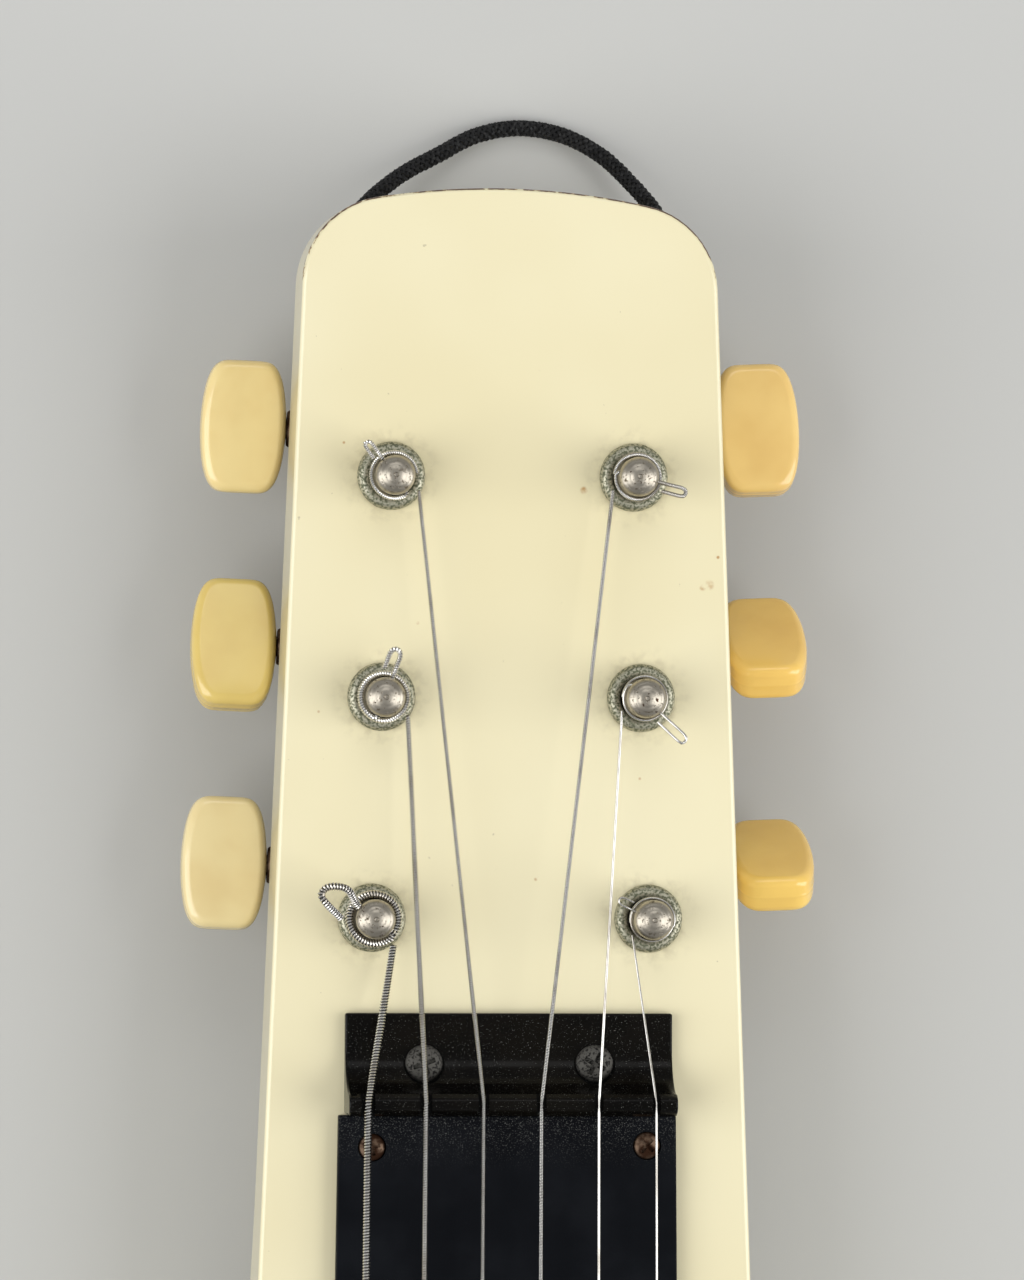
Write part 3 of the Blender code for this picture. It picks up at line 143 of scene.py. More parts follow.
class Surface:
    """A procedural Principled material while it is put together.

    Attributes:
        material: The material.
        tree: Its node tree.
        shader: Its Principled node.
        place: Socket with the object's coordinates.
        uv: Socket with the UV map's coordinates.
        normal: Socket with the relief added so far, or None.
    """

    def __init__(self, name: str, colour: Sequence[float], roughness: float,
                 metallic: float = 0.0, coat: float = 0.0) -> None:
        """Make the material with its shader and its coordinates.

        Args:
            name: Name of the material.
            colour: Linear base colour.
            roughness: Roughness of the plain surface.
            metallic: 1 for bare metal, else 0.
            coat: Weight of a clear coat.
        """
        self.material = bpy.data.materials.new(name)
        self.material.use_nodes = True
        self.tree = self.material.node_tree
        self.shader = self.tree.nodes["Principled BSDF"]
        self.shader.inputs["Base Color"].default_value = colour
        self.shader.inputs["Roughness"].default_value = roughness
        self.shader.inputs["Metallic"].default_value = metallic
        self.shader.inputs["Coat Weight"].default_value = coat
        self.shader.inputs["Coat Roughness"].default_value = COAT_ROUGHNESS
        self.material.diffuse_color = tuple(colour)
        coordinates = self.tree.nodes.new("ShaderNodeTexCoord")
        self.place = coordinates.outputs["Object"]
        self.uv = coordinates.outputs["UV"]
        self.normal = None

    def _feed(self, socket: Socket, value: NodeValue) -> None:
        """Link a socket to a value that varies, or set it to one that doesn't.

        Args:
            socket: The input that is fed.
            value: An output socket, a number or a colour.
        """
        if isinstance(value, bpy.types.NodeSocket):
            self.tree.links.new(value, socket)
        else:
            socket.default_value = value

    def coordinate(self, axis: str) -> Socket:
        """One coordinate of the object's place.

        Args:
            axis: X, Y or Z.

        Returns:
            The coordinate's socket.
        """
        node = self.tree.nodes.new("ShaderNodeSeparateXYZ")
        self.tree.links.new(self.place, node.inputs[0])
        return node.outputs[axis]

    def noise(self, scale: float, detail: float = 3.0,
              stretch: Sequence[float] | None = None) -> Socket:
        """Noise over the object's place.

        Args:
            scale: Waves per metre.
            detail: Octaves of finer noise.
            stretch: Scale along each axis, or None for the same along all.

        Returns:
            Socket with the noise, from 0 to 1.
        """
        node = self.tree.nodes.new("ShaderNodeTexNoise")
        vector = self.place
        if stretch is not None:
            mapping = self.tree.nodes.new("ShaderNodeMapping")
            mapping.inputs["Scale"].default_value = stretch
            self.tree.links.new(self.place, mapping.inputs["Vector"])
            vector = mapping.outputs["Vector"]
        self.tree.links.new(vector, node.inputs["Vector"])
        node.inputs["Scale"].default_value = scale
        node.inputs["Detail"].default_value = detail
        return node.outputs["Fac"]

    def compute(self, operation: str, first: NodeValue, second: NodeValue = 0.0,
                third: NodeValue = 0.0) -> Socket:
        """Value of a math node.

        Args:
            operation: The node's operation.
            first: Its first operand.
            second: Its second operand.
            third: Its third operand.

        Returns:
            Socket with the result.
        """
        node = self.tree.nodes.new("ShaderNodeMath")
        node.operation = operation
        for socket, value in zip(node.inputs, (first, second, third)):
            self._feed(socket, value)
        return node.outputs[0]

    def step(self, value: NodeValue, low: float, high: float) -> Socket:
        """Smooth step from 0 at one value to 1 at another.

        Args:
            value: The value that is compared.
            low: Value that gives 0; it may be the greater of the two.
            high: Value that gives 1.

        Returns:
            Socket with the step.
        """
        node = self.tree.nodes.new("ShaderNodeMapRange")
        node.interpolation_type = "SMOOTHSTEP"
        self._feed(node.inputs["Value"], value)
        if low < high:
            node.inputs["From Min"].default_value = low
            node.inputs["From Max"].default_value = high
        else:
            node.inputs["From Min"].default_value = high
            node.inputs["From Max"].default_value = low
            node.inputs["To Min"].default_value = 1.0
            node.inputs["To Max"].default_value = 0.0
        return node.outputs["Result"]

    def mix(self, share: NodeValue, first: NodeValue, second: NodeValue) -> Socket:
        """Colour between two colours.

        Args:
            share: 0 for the first colour and 1 for the second.
            first: The first colour.
            second: The second colour.

        Returns:
            Socket with the colour.
        """
        node = self.tree.nodes.new("ShaderNodeMix")
        node.data_type = "RGBA"
        self._feed(node.inputs[0], share)
        self._feed(node.inputs[6], first)
        self._feed(node.inputs[7], second)
        return node.outputs[2]

    def near(self, centre: Sequence[float], radius: float, flat: bool = False) -> Socket:
        """1 at a place, falling to 0 at a radius.

        Args:
            centre: The place.
            radius: Distance at which it has fallen to 0.
            flat: True to leave the height out of the distance.

        Returns:
            Socket with the share.
        """
        node = self.tree.nodes.new("ShaderNodeVectorMath")
        node.operation = "SUBTRACT"
        self.tree.links.new(self.place, node.inputs[0])
        node.inputs[1].default_value = centre
        vector = node.outputs["Vector"]
        if flat:
            squash = self.tree.nodes.new("ShaderNodeVectorMath")
            squash.operation = "MULTIPLY"
            self.tree.links.new(vector, squash.inputs[0])
            squash.inputs[1].default_value = (1.0, 1.0, 0.0)
            vector = squash.outputs["Vector"]
        length = self.tree.nodes.new("ShaderNodeVectorMath")
        length.operation = "LENGTH"
        self.tree.links.new(vector, length.inputs[0])
        return self.step(length.outputs["Value"], radius, 0.35 * radius)

    def bump(self, height: Socket, distance: float, strength: float = 1.0) -> None:
        """Add relief to the surface.

        Args:
            height: Socket with the height, from 0 to 1.
            distance: Height in metres that 1 stands for.
            strength: Strength of the relief.
        """
        node = self.tree.nodes.new("ShaderNodeBump")
        node.inputs["Distance"].default_value = distance
        node.inputs["Strength"].default_value = strength
        self.tree.links.new(height, node.inputs["Height"])
        if self.normal is not None:
            self.tree.links.new(self.normal, node.inputs["Normal"])
        self.normal = node.outputs["Normal"]
        self.tree.links.new(self.normal, self.shader.inputs["Normal"])

    def paint(self, colour: NodeValue | None = None,
              roughness: NodeValue | None = None) -> bpy.types.Material:
        """Feed the colour and the roughness.

        Args:
            colour: The base colour, or None to leave it.
            roughness: The roughness, or None to leave it.

        Returns:
            The material.
        """
        if colour is not None:
            self._feed(self.shader.inputs["Base Color"], colour)
        if roughness is not None:
            self._feed(self.shader.inputs["Roughness"], roughness)
        return self.material


@dataclass(frozen=True)
class AgedMetal:
    """Plated or bare metal with patina, fine pits and turning marks.

    Attributes whose names don't say it all:
        clean: Colour of the clean metal.
        patina: Colour of its patina.
        patina_share: Share of the surface under patina.
        mottle: Waves of patina per metre.
        rust: Share of rust flecks, or 0.
        pit_scale: Pits per metre.
        rust_scale: Rust flecks per metre.
    """

    name: str
    clean: tuple
    patina: tuple
    roughness: float
    patina_share: float = 0.45
    pit_depth: float = 0.02 * MM
    mottle: float = 420.0
    rust: float = 0.0
    metallic: float = 1.0
    pit_scale: float = 2600.0
    rust_scale: float = 1300.0
    rust_colour: tuple = srgb(70, 50, 38)

    def material(self) -> bpy.types.Material:
        """Put the metal's material together.

        Returns:
            The material.
        """
        surface = Surface(self.name, self.clean, self.roughness, metallic=self.metallic)
        cloud = surface.noise(self.mottle, 5.0)
        share = surface.step(cloud, 1.0 - self.patina_share, 1.15 - self.patina_share)
        pits = surface.step(surface.noise(self.pit_scale, 2.0), 0.62, 0.70)
        dark = surface.compute("MAXIMUM", share, surface.compute("MULTIPLY", pits, 0.7))
        colour = surface.mix(dark, self.clean, self.patina)
        if self.rust:
            scatter = surface.noise(self.rust_scale, 3.0)
            flecks = surface.step(scatter, 0.78 - self.rust, 0.82 - self.rust)
            colour = surface.mix(flecks, colour, self.rust_colour)
        rough = surface.compute("MULTIPLY_ADD", dark, 0.25, self.roughness)
        surface.bump(surface.compute("SUBTRACT", 1.0, pits), self.pit_depth)
        return surface.paint(colour, rough)


@dataclass(frozen=True)
class Moulding:
    """Moulded plastic: glossy or matte, slightly mottled, with fine dust.

    Attributes whose names don't say it all:
        shade: The other colour of its mottling.
        dust: Share of dust specks, or 0.
        dust_reach: Distance from the nut within which the dust lies, or 0 for all over.
        grain: Height of a fine grain, or 0.
        dust_cover: How much of the colour under it a speck hides.
        scuff: Range of roughness over the surface.
    """

    name: str
    colour: tuple
    shade: tuple
    roughness: float
    coat: float = 0.0
    dust: float = 0.0
    dust_reach: float = 0.0
    grain: float = 0.0
    specular: float = 0.5
    dust_colour: tuple = srgb(150, 150, 145)
    dust_cover: float = 0.42
    scuff: float = 0.22

    def material(self) -> bpy.types.Material:
        """Put the plastic's material together.

        Returns:
            The material.
        """
        surface = Surface(self.name, self.colour, self.roughness, coat=self.coat)
        surface.shader.inputs["Specular IOR Level"].default_value = self.specular
        colour = surface.mix(surface.step(surface.noise(90, 3.0), 0.35, 0.70), self.colour, self.shade)
        if self.dust:
            fine = surface.step(surface.noise(6200, 1.0), 0.70 - self.dust, 0.76 - self.dust)
            coarse = surface.step(surface.noise(2600, 1.0), 0.775 - self.dust, 0.80 - self.dust)
            specks = surface.compute("MAXIMUM", fine, coarse)
            if self.dust_reach:
                close = surface.step(surface.coordinate("Y"), NUT_Y - self.dust_reach, NUT_Y)
                specks = surface.compute("MULTIPLY", specks, close)
            cover = surface.compute("MULTIPLY", specks, self.dust_cover)
            colour = surface.mix(cover, colour, self.dust_colour)
        if self.grain:
            surface.bump(surface.noise(2200, 3.0), self.grain)
        scuffs = surface.compute("MULTIPLY_ADD", surface.noise(160, 4.0), self.scuff,
                                 self.roughness - self.scuff / 2)
        return surface.paint(colour, scuffs)


@dataclass(frozen=True)
class CreamLacquer:
    """Aged cream lacquer over wood, stained, and rubbed through round the head's end.

    Attributes whose names don't say it all:
        shade: The other colour of its mottling.
        primer: Colour at the rim of a rubbed spot.
        grime_reach: Distance from a post's axis that its grime reaches.
        stains: Brown stains on the face: x, y and radius in millimetres, and strength.
    """

    name: str = "cream_lacquer"
    colour: tuple = srgb(240, 231, 194)
    shade: tuple = srgb(233, 222, 181)
    wood: tuple = srgb(112, 78, 46)
    primer: tuple = srgb(176, 150, 106)
    grime: tuple = srgb(126, 108, 76)
    stain: tuple = srgb(184, 138, 74)
    roughness: float = 0.28
    grime_reach: float = 9.5 * MM
    stains: tuple = (
        (31.9, 329.8, 1.0, 0.75), (30.9, 329.4, 0.7, 0.85), (11.8, 344.7, 0.75, 1.0),
        (33.3, 334.2, 0.35, 0.9), (-30.2, 309.4, 0.3, 0.8), (-26.4, 352.0, 0.3, 0.8),
        (-14.5, 323.5, 0.35, 0.8), (21.0, 299.0, 0.3, 0.7), (4.5, 283.0, 0.35, 0.7),
    )

    def material(self, posts: Iterable[Vector]) -> bpy.types.Material:
        """Put the lacquer's material together.

        Args:
            posts: Centres of the posts, where grime has gathered.

        Returns:
            The material.
        """
        surface = Surface(self.name, self.colour, self.roughness, coat=0.6)
        colour = surface.mix(surface.step(surface.noise(14, 3.0), 0.3, 0.7), self.colour, self.shade)
        specks = surface.step(surface.noise(760, 2.0), 0.76, 0.80)
        colour = surface.mix(surface.compute("MULTIPLY", specks, 0.35), colour, self.grime)
        ragged = surface.noise(620, 5.0)
        dirt = None
        for centre in posts:
            ring = surface.near((centre.x, centre.y, FACE_Z), self.grime_reach, flat=True)
            dirt = ring if dirt is None else surface.compute("MAXIMUM", dirt, ring)
        dirt = surface.compute("MULTIPLY", dirt, surface.step(ragged, 0.40, 0.75))
        colour = surface.mix(surface.compute("MULTIPLY", dirt, 0.38), colour, self.grime)
        for x, y, radius, strength in self.stains:
            spot = surface.near((x * MM, y * MM, FACE_Z), radius * MM)
            share = surface.compute("MULTIPLY", spot, surface.step(ragged, 0.30, 0.60))
            colour = surface.mix(surface.compute("MULTIPLY", share, strength), colour, self.stain)
        height = surface.coordinate("Z")
        # A thin rubbed line runs round the head's end, stronger on its treble corner
        band = surface.compute("MULTIPLY", surface.step(height, FACE_Z - 0.06 * MM, FACE_Z - 0.26 * MM),
                               surface.step(height, FACE_Z - 2.6 * MM, FACE_Z - 1.4 * MM))
        end = surface.step(surface.coordinate("Y"), HEAD_END_Y - 26 * MM, HEAD_END_Y - 6 * MM)
        treble = surface.step(surface.coordinate("X"), -10 * MM, 20 * MM)
        rubbed = surface.compute("MULTIPLY", surface.compute("MULTIPLY", band, end),
                                 surface.compute("MULTIPLY_ADD", treble, 0.05, 0.60))
        level = surface.compute("ADD", rubbed, ragged)
        rim = surface.step(level, 0.98, 1.03)
        bare = surface.step(level, 1.04, 1.08)
        colour = surface.mix(rim, colour, self.primer)
        grain = surface.noise(260, 4.0, stretch=(1.0, 0.08, 1.0))
        wood = surface.mix(grain, self.wood, tuple(0.45 * c for c in self.wood[:3]) + (1.0,))
        colour = surface.mix(bare, colour, wood)
        ripple = surface.noise(55, 2.0)
        surface.bump(ripple, 0.05 * MM, 0.5)
        surface.bump(surface.compute("SUBTRACT", 1.0, rim), 0.10 * MM)
        rough = surface.compute("MULTIPLY_ADD", rim, 0.4, self.roughness)
        return surface.paint(colour, rough)


@dataclass(frozen=True)
class WoundWire:
    """String wire; a wound one has a helix of fine wire around its core.

    Attributes:
        name: Name of the material.
        colour: Colour of the bright wire.
        patina: Colour where it has dulled.
        roughness: Its roughness.
        pitch: Pitch of a winding that only the material shows, with painted shade in the grooves between its
            turns, or 0.
        ridge: Cosine of the angle up to which a real winding's wire is bright, or 0; further round, towards
            the core, the wire gets painted shade of the grooves.
    """

    name: str
    colour: tuple
    patina: tuple
    roughness: float
    pitch: float = 0.0
    ridge: float = 0.0

    def material(self) -> bpy.types.Material:
        """Put together the wire's material, which reads length and turn from the piece's UV to paint shade
        into the winding's grooves.

        Returns:
            The material.
        """
        surface = Surface(self.name, self.colour, self.roughness, metallic=1.0)
        share = surface.step(surface.noise(120, 3.0), 0.45, 0.72)
        colour = surface.mix(share, self.colour, self.patina)
        # Painted shade: a nearly black copy of the patina colour, for the grooves of the winding
        dark = tuple(0.10 * c for c in self.patina[:3]) + (1.0,)
        split = surface.tree.nodes.new("ShaderNodeSeparateXYZ")
        surface.tree.links.new(surface.uv, split.inputs[0])
        if self.pitch:
            along = surface.compute("DIVIDE", split.outputs["X"], self.pitch / MM)
            phase = surface.compute("ADD", along, split.outputs["Y"])
            ridge = surface.compute("ABSOLUTE", surface.compute(
                "SINE", surface.compute("MULTIPLY", phase, math.pi)))
            # Painted shade in the grooves between the turns, where the ridge's sine is low
            colour = surface.mix(surface.step(ridge, 0.45, 0.05), colour, dark)
            surface.bump(ridge, 0.25 * self.pitch)
        elif self.ridge:
            outward = surface.compute("COSINE", surface.compute("MULTIPLY", split.outputs["Y"], 2 * math.pi))
            # Painted shade on the inner side of each winding wire, facing the core
            colour = surface.mix(surface.step(outward, self.ridge, self.ridge - 0.36), colour, dark)
        return surface.paint(colour)


@dataclass(frozen=True)
class BraidedYarn:
    """Black polyester yarn of the hanging cord."""

    name: str = "cord_braid"
    colour: tuple = srgb(9, 9, 10)

    def material(self) -> bpy.types.Material:
        """Put the yarn's material together.

        Returns:
            The material.
        """
        surface = Surface(self.name, self.colour, 0.52)
        fibres = surface.noise(5200, 3.0)
        colour = surface.mix(surface.step(fibres, 0.45, 0.80), self.colour, srgb(30, 30, 32))
        surface.shader.inputs["Sheen Weight"].default_value = 0.03
        surface.shader.inputs["Specular IOR Level"].default_value = 0.30
        surface.bump(fibres, 0.04 * MM)
        return surface.paint(colour)


def concrete_floor() -> bpy.types.Material:
    """Plain pale floor of the studio."""
    surface = Surface("studio_floor", srgb(196, 196, 193), 0.85)
    return surface.paint(surface.mix(surface.noise(6, 2.0), srgb(198, 198, 195), srgb(192, 192, 189)))


class Palette:
    """Every material of the instrument, made once, with the buttons' and wires' by their number."""

    def __init__(self, posts: Iterable[Vector]) -> None:
        """Make the materials.

        Args:
            posts: Centres of the posts, where grime has gathered on the lacquer.
        """
        steel = AgedMetal("worn_steel", srgb(186, 180, 168), srgb(120, 108, 88), 0.30)
        self.steel = steel.material()
        self.dome = AgedMetal("post_dome", srgb(172, 165, 152), srgb(104, 95, 80), 0.36,
                              patina_share=0.42, pit_depth=0.06 * MM, mottle=1100.0, rust=0.11).material()
        self.rusty = AgedMetal("rusty_steel", srgb(118, 98, 82), srgb(66, 45, 33), 0.55,
                               patina_share=0.60, pit_depth=0.05 * MM).material()
        self.ferrule = AgedMetal("ferrule_metal", srgb(184, 181, 161), srgb(116, 119, 98), 0.46,
                                 patina_share=0.56, pit_depth=0.10 * MM, mottle=2400.0, rust=0.05,
                                 metallic=0.85).material()
        self.dusty = AgedMetal("dusty_screw", srgb(84, 82, 77), srgb(30, 28, 26), 0.60,
                               patina_share=0.52, pit_depth=0.06 * MM, mottle=2600.0,
                               metallic=0.5).material()
        self.brass = AgedMetal("wheel_brass", srgb(196, 160, 92), srgb(128, 98, 56), 0.36).material()
        self.chrome = AgedMetal("cover_chrome", srgb(208, 208, 208), srgb(182, 178, 170), 0.12,
                                patina_share=0.38).material()
        self.lacquer = CreamLacquer().material(posts)
        self.black = Moulding("black_moulding", srgb(6, 5, 4), srgb(14, 12, 8), 0.20, dust=0.006,
                              specular=0.11).material()
        self.board = Moulding("fretboard_black", srgb(11, 13, 17), srgb(19, 21, 25), 0.50, dust=0.075,
                              dust_reach=12.0 * MM, grain=0.02 * MM, specular=0.05).material()
        self.knob = Moulding("knob_black", srgb(14, 14, 14), srgb(20, 20, 20), 0.22, coat=0.4).material()
        self.coil = Moulding("coil_wrap", srgb(20, 18, 17), srgb(30, 27, 24), 0.5).material()
        self.fret_line = Moulding("fret_line", srgb(196, 192, 178), srgb(184, 180, 166), 0.5).material()
        self.cord = BraidedYarn().material()
        self.buttons = {number: self._button(number) for number in STRING_NUMBERS}
        self.wires = {number: self._wire(number) for number in STRING_NUMBERS}

    @staticmethod
    def _button(number: int) -> bpy.types.Material:
        """Plastic of one button; each has yellowed in its own way.

        Args:
            number: The button's number.

        Returns:
            The material.
        """
        colours = {4: (246, 223, 158), 5: (230, 204, 120), 6: (240, 221, 166),
                   3: (248, 212, 133), 2: (250, 207, 110), 1: (250, 210, 111)}
        red, green, blue = colours[number]
        shade = srgb(red * 0.97, green * 0.95, blue * 0.92)
        plastic = Moulding(f"button_plastic_{number}", srgb(red, green, blue), shade, 0.20, coat=0.5)
        return plastic.material()

    @staticmethod
    def _wire(number: int) -> bpy.types.Material:
        """Wire of one string; the upper three are plain and duller.

        Args:
            number: The string's number.

        Returns:
            The material.
        """
        bright, dull = (236, 210) if number > 3 else (206, 160)
        # pitch and ridge set where the wound strings get painted shade in their grooves
        wire = WoundWire(f"string_wire_{number}", srgb(bright, bright - 2, bright - 6),
                         srgb(dull, dull - 6, dull - 16), 0.24,
                         pitch=0.24 * MM if number == 3 else 0.0,
                         ridge={4: 0.70, 5: 0.70, 6: 0.92}.get(number, 0.0))
        return wire.material()

    def for_slot(self, slot: str, node: str) -> bpy.types.Material:
        """Material of a CAD node that is shown as it is.

        Args:
            slot: The node's slot in the record.
            node: The node's name, which ends with its number where it has one.

        Returns:
            The material.
        """
        if slot in ("button_plastic", "string_steel"):
            number = int(node.rsplit("_", 1)[1])
            return self.buttons[number] if slot == "button_plastic" else self.wires[number]
        return {"cream_lacquer": self.lacquer, "black_moulding": self.black,
                "fretboard_black": self.board, "worn_steel": self.steel,
                "ferrule_metal": self.ferrule, "wheel_brass": self.brass,
                "cover_chrome": self.chrome, "knob_black": self.knob,
                "coil_wrap": self.coil, "cord_braid": self.cord}[slot]


def add_piece(name: str, mesh: bpy.types.Mesh, material: bpy.types.Material, body: str,
              stands_for: Sequence[str] = ()) -> bpy.types.Object:
    """Add a mesh to the scene as a piece that moves with a CAD body.

    Args:
        name: Name of the piece.
        mesh: Its mesh, in the row frame.
        material: Its material.
        body: CAD body that it rides on.
        stands_for: CAD nodes that it is shown instead of.

    Returns:
        The object.
    """
    mesh.materials.clear()
    mesh.materials.append(material)
    obj = bpy.data.objects.new(name, mesh)
    bpy.context.scene.collection.objects.link(obj)
    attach(obj, body)
    if stands_for:
        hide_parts(*stands_for)
    LOG.info("%s: %d faces on %s", name, len(mesh.polygons), body)
    return obj


def _temporary(name: str, bm: bmesh.types.BMesh) -> bpy.types.Object:
    """Link an object for a mesh that only lives while a solid is carved.

    Args:
        name: Name of the object.
        bm: Its mesh. It is freed.

    Returns:
        The object.
    """
    bmesh.ops.recalc_face_normals(bm, faces=bm.faces)
    mesh = bpy.data.meshes.new(name)
    bm.to_mesh(mesh)
    bm.free()
    obj = bpy.data.objects.new(name, mesh)
    bpy.context.scene.collection.objects.link(obj)
    return obj


def _evaluated(obj: bpy.types.Object) -> bpy.types.Mesh:
    """The object's mesh with its modifiers applied."""
    depsgraph = bpy.context.evaluated_depsgraph_get()
    return bpy.data.meshes.new_from_object(obj.evaluated_get(depsgraph))


def carved(bm: bmesh.types.BMesh, cutters: Sequence[bmesh.types.BMesh] = (), rounding: float = 0.0,
           segments: int = 3, smooth: float = 35.0) -> bpy.types.Mesh:
    """Finish a solid: round its edges, cut it, and weight its normals.

    Args:
        bm: The solid. It is freed.
        cutters: Solids taken out of it. They are freed.
        rounding: Width of the bevel along its sharp edges.
        segments: Segments of that bevel.
        smooth: Angle in degrees above which an edge stays sharp.

    Returns:
        The finished mesh.
    """
    solid = _temporary("carved_solid", bm)
    if rounding:
        bevel = solid.modifiers.new("round", "BEVEL")
        bevel.width = rounding
        bevel.segments = segments
        bevel.limit_method = "ANGLE"
        bevel.angle_limit = math.radians(40)
    tools = [_temporary("carved_tool", cutter) for cutter in cutters]
    for tool in tools:
        cut = solid.modifiers.new("cut", "BOOLEAN")
        cut.object = tool
        cut.solver = "EXACT"
    rough = _evaluated(solid)
    rough.shade_smooth()
    rough.set_sharp_from_angle(angle=math.radians(smooth))
    for item in [solid, *tools]:
        bpy.data.objects.remove(item, do_unlink=True)
    holder = bpy.data.objects.new("carved_normals", rough)
    bpy.context.scene.collection.objects.link(holder)
    weighted = holder.modifiers.new("normals", "WEIGHTED_NORMAL")
    weighted.keep_sharp = True
    mesh = _evaluated(holder)
    bpy.data.objects.remove(holder, do_unlink=True)
    return mesh


def without(bm: bmesh.types.BMesh, cutter: bmesh.types.BMesh) -> bmesh.types.BMesh:
    """Take one solid out of another.

    Args:
        bm: The solid. It is freed.
        cutter: The solid taken out of it. It is freed.

    Returns:
        What is left.
    """
    solid = _temporary("whole", bm)
    tool = _temporary("taken_out", cutter)
    cut = solid.modifiers.new("cut", "BOOLEAN")
    cut.object = tool
    cut.solver = "EXACT"
    rest = bmesh.new()
    rest.from_mesh(_evaluated(solid))
    for item in (solid, tool):
        bpy.data.objects.remove(item, do_unlink=True)
    return rest


def arc(centre: Sequence[float], radius: float, start: float, end: float, steps: int) -> list:
    """Points on an arc in a plane, both ends included.

    Args:
        centre: The arc's centre.
        radius: Its radius.
        start: Where it starts, in degrees.
        end: Where it ends, in degrees.
        steps: Its number of chords.

    Returns:
        The points.
    """
    points = []
    for i in range(steps + 1):
        angle = math.radians(start + (end - start) * i / steps)
        points.append((centre[0] + radius * math.cos(angle), centre[1] + radius * math.sin(angle)))
    return points


def bezier(p0: Sequence[float], p1: Sequence[float], p2: Sequence[float], p3: Sequence[float],
           steps: int) -> list:
    """Points on a cubic Bezier curve in a plane, after its first point.

    Args:
        p0: Where the curve starts.
        p1: Its first handle.
        p2: Its second handle.
        p3: Where it ends.
        steps: Its number of chords.

    Returns:
        The points.
    """
    points = []
    for i in range(1, steps + 1):
        t = i / steps
        s = 1 - t
        points.append(tuple(s ** 3 * a + 3 * s * s * t * b + 3 * s * t * t * c + t ** 3 * d
                            for a, b, c, d in zip(p0, p1, p2, p3)))
    return points


def turned(profile: Sequence, segments: int, closed: bool = False) -> bmesh.types.BMesh:
    """Spin a profile about Z.

    Args:
        profile: (radius, height) points, from axis to axis or around a ring.
        segments: Segments of a full turn.
        closed: True where the profile is a ring's.

    Returns:
        The solid.
    """
    bm = bmesh.new()
    verts = [bm.verts.new((radius, 0, height)) for radius, height in profile]
    edges = [bm.edges.new(pair) for pair in zip(verts, verts[1:])]
    if closed:
        edges.append(bm.edges.new((verts[-1], verts[0])))
    bmesh.ops.spin(bm, geom=verts + edges, cent=(0, 0, 0), axis=(0, 0, 1), angle=2 * math.pi,
                   steps=segments, use_merge=True)
    bmesh.ops.remove_doubles(bm, verts=bm.verts, dist=0.0005 * MM)
    bmesh.ops.dissolve_degenerate(bm, edges=bm.edges, dist=0.0005 * MM)
    return bm


def extruded(outline: Sequence, depth: Sequence[float]) -> bmesh.types.BMesh:
    """Extrude a closed outline.

    Args:
        outline: The outline's points, in 3-D.
        depth: The vector that it is moved by.

    Returns:
        The solid.
    """
    bm = bmesh.new()
    face = bm.faces.new([bm.verts.new(point) for point in outline])
    result = bmesh.ops.extrude_face_region(bm, geom=[face])
    moved = [item for item in result["geom"] if isinstance(item, bmesh.types.BMVert)]
    bmesh.ops.translate(bm, verts=moved, vec=depth)
    return bm


def lofted(rings: Sequence) -> bmesh.types.BMesh:
    """Skin rings that have the same number of points, and close both ends.

    Args:
        rings: The rings, in order.

    Returns:
        The solid.
    """
    bm = bmesh.new()
    loops = [[bm.verts.new(point) for point in ring] for ring in rings]
    for lower, upper in zip(loops, loops[1:]):
        for i in range(len(lower)):
            j = (i + 1) % len(lower)
            bm.faces.new((lower[i], lower[j], upper[j], upper[i]))
    bm.faces.new(loops[0][::-1])
    bm.faces.new(loops[-1])
    return bm


def add_cylinder(bm: bmesh.types.BMesh, radius: float, start: Sequence[float], end: Sequence[float],
                 segments: int) -> None:
    """Add a cylinder to a mesh.

    Args:
        bm: The mesh.
        radius: Radius of the cylinder.
        start: Middle of one end.
        end: Middle of the other end.
        segments: Its sides.
    """
    start = Vector(start)
    axis = Vector(end) - start
    turn = axis.to_track_quat("Z", "Y").to_matrix().to_4x4()
    matrix = Matrix.Translation(start + axis / 2) @ turn
    bmesh.ops.create_cone(bm, cap_ends=True, segments=segments, radius1=radius, radius2=radius,
                          depth=axis.length, matrix=matrix)


def add_box(bm: bmesh.types.BMesh, low: Sequence[float], high: Sequence[float]) -> None:
    """Add a box to a mesh.

    Args:
        bm: The mesh.
        low: The box's lowest corner.
        high: Its highest corner.
    """
    low = Vector(low)
    high = Vector(high)
    matrix = Matrix.Translation((low + high) / 2) @ Matrix.Diagonal((*(high - low), 1))
    bmesh.ops.create_cube(bm, size=1, matrix=matrix)


def frames_along(points: Sequence[Vector]) -> list:
    """Frames along a line that don't twist.

    Args:
        points: The line's points.

    Returns:
        For each point, the point, its side and up vectors, and the length run so far.
    """
    run = 0.0
    tangent = (points[1] - points[0]).normalized()
    side = tangent.orthogonal().normalized()
    frames = []
    for i, point in enumerate(points):
        before = points[max(i - 1, 0)]
        after = points[min(i + 1, len(points) - 1)]
        turned_to = (after - before).normalized()
        side = (tangent.rotation_difference(turned_to) @ side).normalized()
        tangent = turned_to
        if i:
            run += (point - points[i - 1]).length
        frames.append((point, side, tangent.cross(side), run))
    return frames


